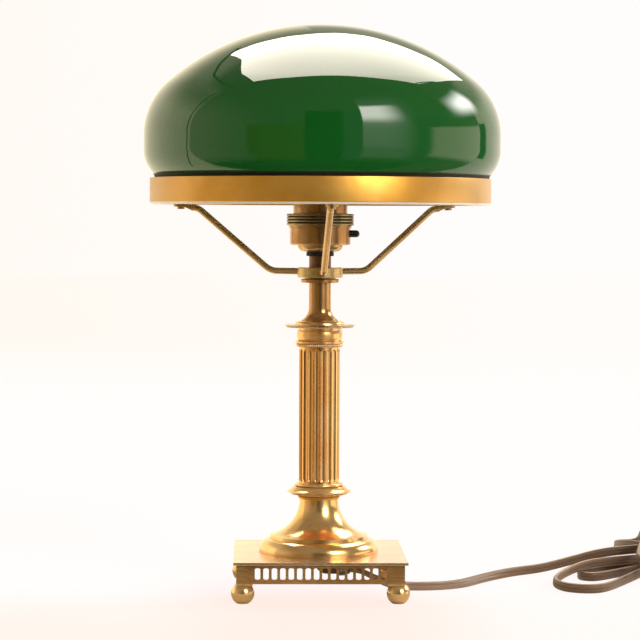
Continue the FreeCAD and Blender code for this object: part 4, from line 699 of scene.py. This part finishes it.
def cordRoute():      # the control points of its line, in millimetres
    floor, pitch, grip = cordSizes["floor"], cordSizes["pitch"], cordSizes["grip"]
    front, back = 0, 1
    points = [Vector(spot) for spot in (
        (22, 0, 15.5), (29, 0, 15.5), (41, 0.4, 9.0), (53, 1.2, 4.2), (66, 2.4, 3.3), (82, 3.6, 3.3),
        (96, 9.5, 3.3), (107, 20, 3.3), (117, 36, 3.4), (130, 54, 3.5), (146, 73, 3.5), (168, 85, 4.2),
        (190, 89.5, 9.1), (213, 91.5, 15.1), (236, 93, 17.4))]
    # side of the tie, angle, reach, breadth, swing, turning, how far it hangs over the floor, where it starts
    # to sink, and its places in the tie: column and layer, going out and coming home
    loops = (
        (1, -36, 64, 14, 0, -1, 0, (0.2, 0.2), (front, 2), (front, 1)),
        (-1, 220, 124, 22, 13, 1, 0, (0.66, 0), (front, 1), (front, 0)),
        (1, 14, 72, 13, 0, 1, 0, (0, 0), (front, 0), (back, 0)),
        (-1, 216, 75, 9, 5, -1, 0, (0, 0.12), (back, 0), (back, 1)),
        (1, 60, 62, 14, 0, -1, 0, (0.2, 0.2), (back, 1), (back, 2)),
        (-1, 112, 62, 10, -14, -1, 1.3, (0.45, 0.65), (back, 2), (back, 3)),
        (1, 10, 60, 14, -18, -1, 1.35, (0.7, 0.65), (back, 3), (back, 4)),
        (-1, 255, 63, 12.2, 11, 1, 1.9, (0.13, 0.23), (back, 4), (front, 4)),
    )
    for side, angle, reach, breadth, swing, turn, low, hold, out, home in loops:
        points.append(hankSlot(-side * grip, *out))
        start, finish = hankSlot(side * grip, *out), hankSlot(side * grip, *home)
        points.append(start)
        points += hankLoop(start, finish, angle, reach, breadth, swing, turn, floor + low * pitch, hold)
    points += [hankSlot(-grip, front, 4), hankSlot(grip, front, 4)]
    points += [Vector((x, y, floor + up)) for x, y, up in (
        (285, 91, 24), (299, 75, 17.5), (308, 58, 11), (313, 42, 4), (313, 27, 0), (311, 13, 0.2),
        (308.6, 1, 2))]
    return points + [Vector((307, -8, 6.85)), Vector((306.2, -15, 6.85))]


def splinePoints(controls):
    curve = bpy.data.curves.new("cordLine", "CURVE")
    curve.dimensions = "3D"
    spline = curve.splines.new("NURBS")
    spline.points.add(len(controls) - 1)
    for place, control in zip(spline.points, controls):
        place.co = (*(control * mm), 1)
    spline.order_u = 3
    spline.use_endpoint_u = True
    spline.resolution_u = cordSizes["smoothness"]
    holder = linkNew(bpy.data.objects.new("cordLine", curve))
    line = bpy.data.meshes.new_from_object(holder)
    points = [vertex.co.copy() for vertex in line.vertices]
    bpy.data.objects.remove(holder)
    return [point for place, point in enumerate(points)
            if place == 0 or (point - points[place - 1]).length > 1e-5]


flexShape = dict(sides=28, ends=0.85, faces=0.75, groove=0.30, grooveWidth=0.22, ripple=0.05, ripples=22,
                 streaks=(14, 1.3))      # along it and round it


def flexSection():      # two cores with a shallow groove between them, and how near the edge each point is
    half, thick = cordSizes["width"] / 2, cordSizes["thickness"] / 2
    section = []
    for step in range(flexShape["sides"]):
        turn = 2 * math.pi * step / flexShape["sides"]
        across = half * math.copysign(abs(math.cos(turn)) ** flexShape["ends"], math.cos(turn))
        share = abs(across) / half
        height = thick * math.copysign(abs(math.sin(turn)) ** flexShape["faces"], math.sin(turn))
        height *= 1 - flexShape["groove"] * max(0.0, 1 - (share / flexShape["grooveWidth"]) ** 2)
        height *= 1 + flexShape["ripple"] * math.cos(share * flexShape["ripples"])
        section.append((across, height, share))
    return section


# flat under the lamp, leaning where it comes out, on edge further on and flat again at the plug, in metres
flexLean = dict(first=0.54, firstFrom=0.005, firstRun=0.035, second=0.46, secondFrom=0.06, secondRun=0.14,
                endFlat=0.012, endRun=0.05, waver=0.10, wavers=43)


def ramp(value, start, run):
    return min(1.0, max(0.0, (value - start) / run))


def leanAt(walked, length):
    size = flexLean
    early = ramp(walked, size["firstFrom"], size["firstRun"])
    late = ramp(walked, size["secondFrom"], size["secondRun"])
    onEdge = size["first"] * early * early * (3 - 2 * early) + size["second"] * late * late * (3 - 2 * late)
    flatEnd = ramp(length - size["endFlat"], walked, size["endRun"])
    lean = math.radians(90) * onEdge * (flatEnd * flatEnd * (3 - 2 * flatEnd))
    return lean + size["waver"] * math.sin(walked * size["wavers"]) * late * flatEnd


def buildCord():
    line = splinePoints(cordRoute())
    section = flexSection()
    walked = [0.0]
    for before, after in zip(line, line[1:]):
        walked.append(walked[-1] + (after - before).length)
    points, faces, shares, rows = [], [], [], []
    sideways = Vector((0, 1, 0))
    for place, point in enumerate(line):
        ahead = line[min(place + 1, len(line) - 1)] - line[max(place - 1, 0)]
        ahead.normalize()
        level = Vector((-ahead.y, ahead.x, 0))
        if level.length > 0.05:
            sideways = level.normalized()
        across = (sideways - ahead * sideways.dot(ahead)).normalized()
        upward = ahead.cross(across).normalized()
        lean = leanAt(walked[place], walked[-1])
        broad = across * math.cos(lean) + upward * math.sin(lean)
        thin = upward * math.cos(lean) - across * math.sin(lean)
        rows.append(len(points))
        for wide, high, share in section:
            points.append(point + (broad * wide + thin * high) * mm)
            shares.append(share)
    sides = len(section)
    for low, high in zip(rows, rows[1:]):
        for side in range(sides):
            after = (side + 1) % sides
            faces.append([low + side, low + after, high + after, high + side])
    faces.append(list(range(rows[0], rows[0] + sides))[::-1])
    faces.append(list(range(rows[-1], rows[-1] + sides)))
    cord = meshPiece("cord_flex", points, faces, [finishes["cord"]], 60)
    marks = cord.data.attributes.new("flexPart", "FLOAT", "POINT")
    marks.data.foreach_set("value", shares)
    layout = cord.data.uv_layers.new(name="flexPlace")
    along, around = flexShape["streaks"]
    for face in cord.data.polygons:
        for corner, vertex in zip(face.loop_indices, face.vertices):
            row, side = divmod(vertex, sides)
            layout.data[corner].uv = (walked[row] * along, min(side, sides - side) * around)
    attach(cord, "lamp")
    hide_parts("cord_run", "cord_hank")
    print("cord made:", round(walked[-1], 3), "m")


buildCord()


# stage, lamps and camera

shadeMiddle = Vector((0, 0, 0.33))


def showAs(material, node):
    tree = material.node_tree
    tree.links.new(node.outputs[0], tree.nodes["Material Output"].inputs["Surface"])


def emitter(name, colour, strength, fade=None):
    material, shader = startMaterial(name, {})
    material.node_tree.nodes.remove(shader)
    light = addNode(material, "Emission", {"Color": colour, "Strength": strength})
    if fade:      # weaker towards its right end
        weaker = spread(material, axesOn(material)["X"], 0.1, 1.3, strength, strength * fade)
        material.node_tree.links.new(weaker, light.inputs["Strength"])
    showAs(material, light)
    return material


def stageLight(panel):      # seen in reflections alone: the room lights plain colours
    panel.visible_camera = False
    panel.visible_diffuse = False
    panel.visible_shadow = False


softboxSizes = dict(distance=2.6, strength=9.0, fade=0.72, colour=(1, 0.90, 0.78), ways=[
    (-0.44, 0.04, 0.90), (-0.20, 0.02, 0.98), (0.05, 0.05, 1.0), (0.33, 0.08, 0.94), (0.57, 0.18, 0.80),
    (0.55, 0.50, 0.67), (0.43, 0.78, 0.45), (0.34, 0.81, 0.48), (0.27, 0.80, 0.53), (0.20, 0.81, 0.56),
    (0.12, 0.81, 0.58), (0.04, 0.79, 0.62), (-0.04, 0.77, 0.63), (-0.15, 0.77, 0.62), (-0.27, 0.76, 0.59),
    (-0.30, 0.60, 0.74)])


def buildSoftbox():      # a glowing panel over the lamp, its outline as ways from the shade's middle
    size = softboxSizes
    corners = [tuple(shadeMiddle + Vector(way).normalized() * size["distance"]) for way in size["ways"]]
    middle = sum((Vector(corner) for corner in corners), Vector()) / len(corners)
    faces = [[0, place + 1, (place + 1) % len(corners) + 1] for place in range(len(corners))]
    glow = emitter("softbox_over_glow", size["colour"], size["strength"], size["fade"])
    stageLight(meshPiece("softbox_over", [tuple(middle)] + corners, faces, [glow]))


# the tones of the paper and backdrop; nearLeft, nearRight and foot are the tones of a painted shadow of the
# lamp
stageColours = dict(left=(1.0, 0.955, 0.905), right=(1.0, 0.982, 0.973), white=(1.0, 1.0, 1.0),
                    nearLeft=(1.0, 0.934, 0.876), nearRight=(1.0, 0.988, 0.966),
                    foot=(1.0, 0.896, 0.835))


# from the camera a place's direction aside is its own x over its distance
floorSizes = dict(rings=[0.0, 600.0, 2500.0, 9000.0], around=64, cameraFront=1.72, nearest=0.4)
# the paper glows plainly, and a thin veil of lit paper over it takes the lamp's shadow
floorGlow = dict(strength=0.9, red=1.1, veiled=0.115, veil=(0.04, 0.155, 0.15))


def floorTint(material, axes, reach):
    strength, veiled = floorGlow["strength"], floorGlow["veiled"]
    tones = {side: (floorGlow["red"], (tone[1] - veiled) / strength, (tone[2] - veiled) / strength)
             for side, tone in stageColours.items()}
    distance = calculate(material, "ADD", axes["Y"], floorSizes["cameraFront"])
    distance = calculate(material, "MAXIMUM", distance, floorSizes["nearest"])
    aside = calculate(material, "DIVIDE", axes["X"], distance)
    plain = blendColour(material, spread(material, aside, 0.12, -0.14), tones["right"], tones["left"])
    # painted shadow: the paper in front of the lamp takes the near tones, pinker at the left
    near = blendColour(material, spread(material, aside, 0.08, -0.12), tones["nearRight"], tones["nearLeft"])
    tinted = blendColour(material, spread(material, axes["Y"], 3.6, 1.7), plain, tones["white"])
    close = spread(material, reach, 0.80, 0.40)
    front = times(material, spread(material, axes["Y"], 0.04, -0.17), close)
    tinted = blendColour(material, front, tinted, near)
    # painted shadow: the paper under the lamp takes the foot tone
    width = spread(material, calculate(material, "ABSOLUTE", axes["X"]), 0.15, 0.03)
    under = times(material, width, spread(material, axes["Y"], 0.03, -0.07))
    under = times(material, under, close)
    return blendColour(material, under, tinted, tones["foot"])


def buildFloor():      # white paper: pale to the camera, with a painted shadow in front of and under the lamp, and small in reflections
    material, paper = startMaterial("studio_floor", {"Base Color": (0.9, 0.885, 0.87, 1), "Roughness": 0.7,
                                                     "Specular IOR Level": 0.1})
    reach = addNode(material, "VectorMath", {0: placeOn(material)}, operation="LENGTH").outputs["Value"]
    light = addNode(material, "LightPath").outputs
    tinted = floorTint(material, axesOn(material), reach)
    glow = addNode(material, "Emission", {"Strength": floorGlow["strength"], "Color": tinted})
    veil = addNode(material, "BsdfDiffuse", {"Color": floorGlow["veil"]})
    seen = addNode(material, "AddShader", {0: glow.outputs[0], 1: veil.outputs[0]})
    gone = addNode(material, "BsdfTransparent", {"Color": (1, 1, 1)})
    far = times(material, light["Is Glossy Ray"], spread(material, reach, 0.15, 0.20))
    mirrored = addNode(material, "MixShader", {0: far, 1: paper.outputs[0], 2: gone.outputs[0]})
    shown = {0: light["Is Camera Ray"], 1: mirrored.outputs[0], 2: seen.outputs[0]}
    showAs(material, addNode(material, "MixShader", shown))
    profile = [(radius, 0.0) for radius in floorSizes["rings"]]
    points, faces, _ = spinProfile(profile, floorSizes["around"], closed=False)
    meshPiece("floor", points, faces, [material])


roomPatches = [
    # what the room sends to the lamp: azimuths from the front to the right and elevations, in degrees,
    # how far each of the four edges is blurred, and the colour
    ((-97, -62), (-32, 30), (1.5, 70, 22, 40), (0.78, 0.66, 0.48)),
    ((-182, -94), (-90, 48), (1, 1.5, 1, 8), (0.62, 0.54, 0.40)),
    ((-182, -94), (-90, 27), (1, 1.5, 1, 22), (1.60, 1.38, 1.0)),
    ((-50, -13), (-90, 9.5), (1.5, 1.5, 1, 1.5), (0.26, 0.19, 0.05)),
    ((24, 56), (-32, 8), (2, 20, 16, 14), (0.66, 0.64, 0.60)),
    ((24, 58), (4, 48), (1.5, 26, 6, 16), (0.70, 0.68, 0.64)),
    ((24.5, 48), (2, 32), (1.5, 24, 22, 8), (1.7, 1.6, 1.5)),
    ((24.5, 46), (17, 37.5), (1.5, 22, 14, 5), (11, 10.6, 9.8)),
    ((-13, 13), (-90, 31), (1.5, 3, 1, 1.5), (0.035, 0.035, 0.03)),
    ((12, 24), (-90, 31), (3, 1.5, 1, 1.5), (0.20, 0.21, 0.24)),
    ((60, 82), (-40, 22), (8, 6, 6, 10), (0.19, 0.19, 0.21)),
    ((118.5, 182), (-90, 36), (3, 1, 1, 6), (0.75, 0.66, 0.53)),
    ((118.5, 182), (-90, 20), (3, 1, 1, 12), (1.40, 1.24, 1.04)),
    ((101, 124), (21, 34), (20, 10, 13, 12), (12.5, 12, 11.5)),
    ((72, 118.5), (-22, 7.5), (8, 1.5, 12, 3), (1.6, 1.38, 1.12)),
    ((118.5, 127), (-13, 9), (1.5, 4, 2, 1.5), (0.10, 0.10, 0.10)),
    ((-96, 72), (-90, -42), (14, 10, 1, 14), (0.06, 0.06, 0.055)),
]
roomLines = [
    # thin dark edges in that room, as azimuths and elevations
    [(-66, 79), (-70, 72), (-86, 62), (-93, 53), (-95, 40), (-94, 10), (-95, -10), (-101, -24), (-112, -36)],
    [(-92, 54), (-108, 52), (-125, 50), (-142, 45), (-158, 38), (-165, 34)],
    [(84, 14), (82, 24), (88, 44), (95, 56), (112, 53), (126, 46)],
]


roomLineSizes = dict(distance=2.4, half=0.009, colour=(0.10, 0.09, 0.08))


def buildRoomLines():
    points, faces, distance = [], [], roomLineSizes["distance"]
    for line in roomLines:
        ways = [Vector((math.sin(math.radians(turn)) * math.cos(math.radians(rise)),
                        -math.cos(math.radians(turn)) * math.cos(math.radians(rise)),
                        math.sin(math.radians(rise)))) for turn, rise in line]
        start = len(points)
        for place, way in enumerate(ways):
            along = ways[min(place + 1, len(ways) - 1)] - ways[max(place - 1, 0)]
            aside = along.cross(way).normalized() * roomLineSizes["half"]
            points += [tuple(shadeMiddle + (way + side) * distance) for side in (-aside, aside)]
        faces += [[start + 2 * place, start + 2 * place + 1, start + 2 * place + 3, start + 2 * place + 2]
                  for place in range(len(ways) - 1)]
    dark = emitter("room_lines_dark", roomLineSizes["colour"], 1.0)
    stageLight(meshPiece("room_lines", points, faces, [dark]))


roomColour = (0.26, 0.23, 0.19, 1)


def buildWorld():
    world = bpy.data.worlds.new("studio")
    bpy.context.scene.world = world
    world.use_nodes = True
    world.node_tree.nodes.clear()
    way = addNode(world, "TexCoord").outputs["Generated"]
    axes = addNode(world, "SeparateXYZ", {0: way}).outputs
    turn = calculate(world, "ARCTAN2", axes["X"], times(world, axes["Y"], -1.0))
    turn = times(world, turn, 180 / math.pi)
    rise = times(world, calculate(world, "ARCSINE", axes["Z"]), 180 / math.pi)
    room = addNode(world, "RGB").outputs[0]
    room.default_value = roomColour
    for turns, rises, blurs, colour in roomPatches:
        share = None
        edges = [(turn, turns[0], 1), (turn, turns[1], -1), (rise, rises[0], 1), (rise, rises[1], -1)]
        for (value, edge, sign), blur in zip(edges, blurs):
            part = spread(world, value, edge - blur / 2 * sign, edge + blur / 2 * sign)
            share = part if share is None else times(world, share, part)
        room = blendColour(world, share, room, colour)
    roomLight = addNode(world, "Background", {"Color": room, "Strength": 1.0})
    # to the camera the backdrop is plain, a little warmer at the left
    leftward = spread(world, axes["X"], 0.12, -0.14)
    backdrop = blendColour(world, leftward, stageColours["right"], stageColours["left"])
    seen = addNode(world, "Background", {"Color": backdrop, "Strength": 1.0})
    either = addNode(world, "MixShader", {0: addNode(world, "LightPath").outputs["Is Camera Ray"],
                                          1: roomLight.outputs[0], 2: seen.outputs[0]})
    addNode(world, "OutputWorld", {"Surface": either.outputs[0]})


cameraPlace = dict(at=(-0.04723, -1.71763, 0.2657), yaw=1.5795, pitch=2.4363, roll=0.2856, lens=137.04,
                   sensor=36, nearest=0.05, farthest=60)


def buildCamera():
    camera = bpy.data.cameras.new("camera")
    camera.lens = cameraPlace["lens"]
    camera.sensor_width = cameraPlace["sensor"]
    camera.clip_start, camera.clip_end = cameraPlace["nearest"], cameraPlace["farthest"]
    holder = linkNew(bpy.data.objects.new("camera", camera))
    aim = Euler((math.radians(90 - cameraPlace["pitch"]), 0, -math.radians(cameraPlace["yaw"])))
    holder.matrix_world = (Matrix.Translation(cameraPlace["at"]) @ aim.to_matrix().to_4x4()
                           @ Matrix.Rotation(math.radians(cameraPlace["roll"]), 4, "Z"))
    bpy.context.scene.camera = holder


buildSoftbox()
buildFloor()
buildRoomLines()
buildWorld()
buildCamera()
bpy.context.scene.view_settings.view_transform = "Standard"
print("stage, lamps and camera placed")
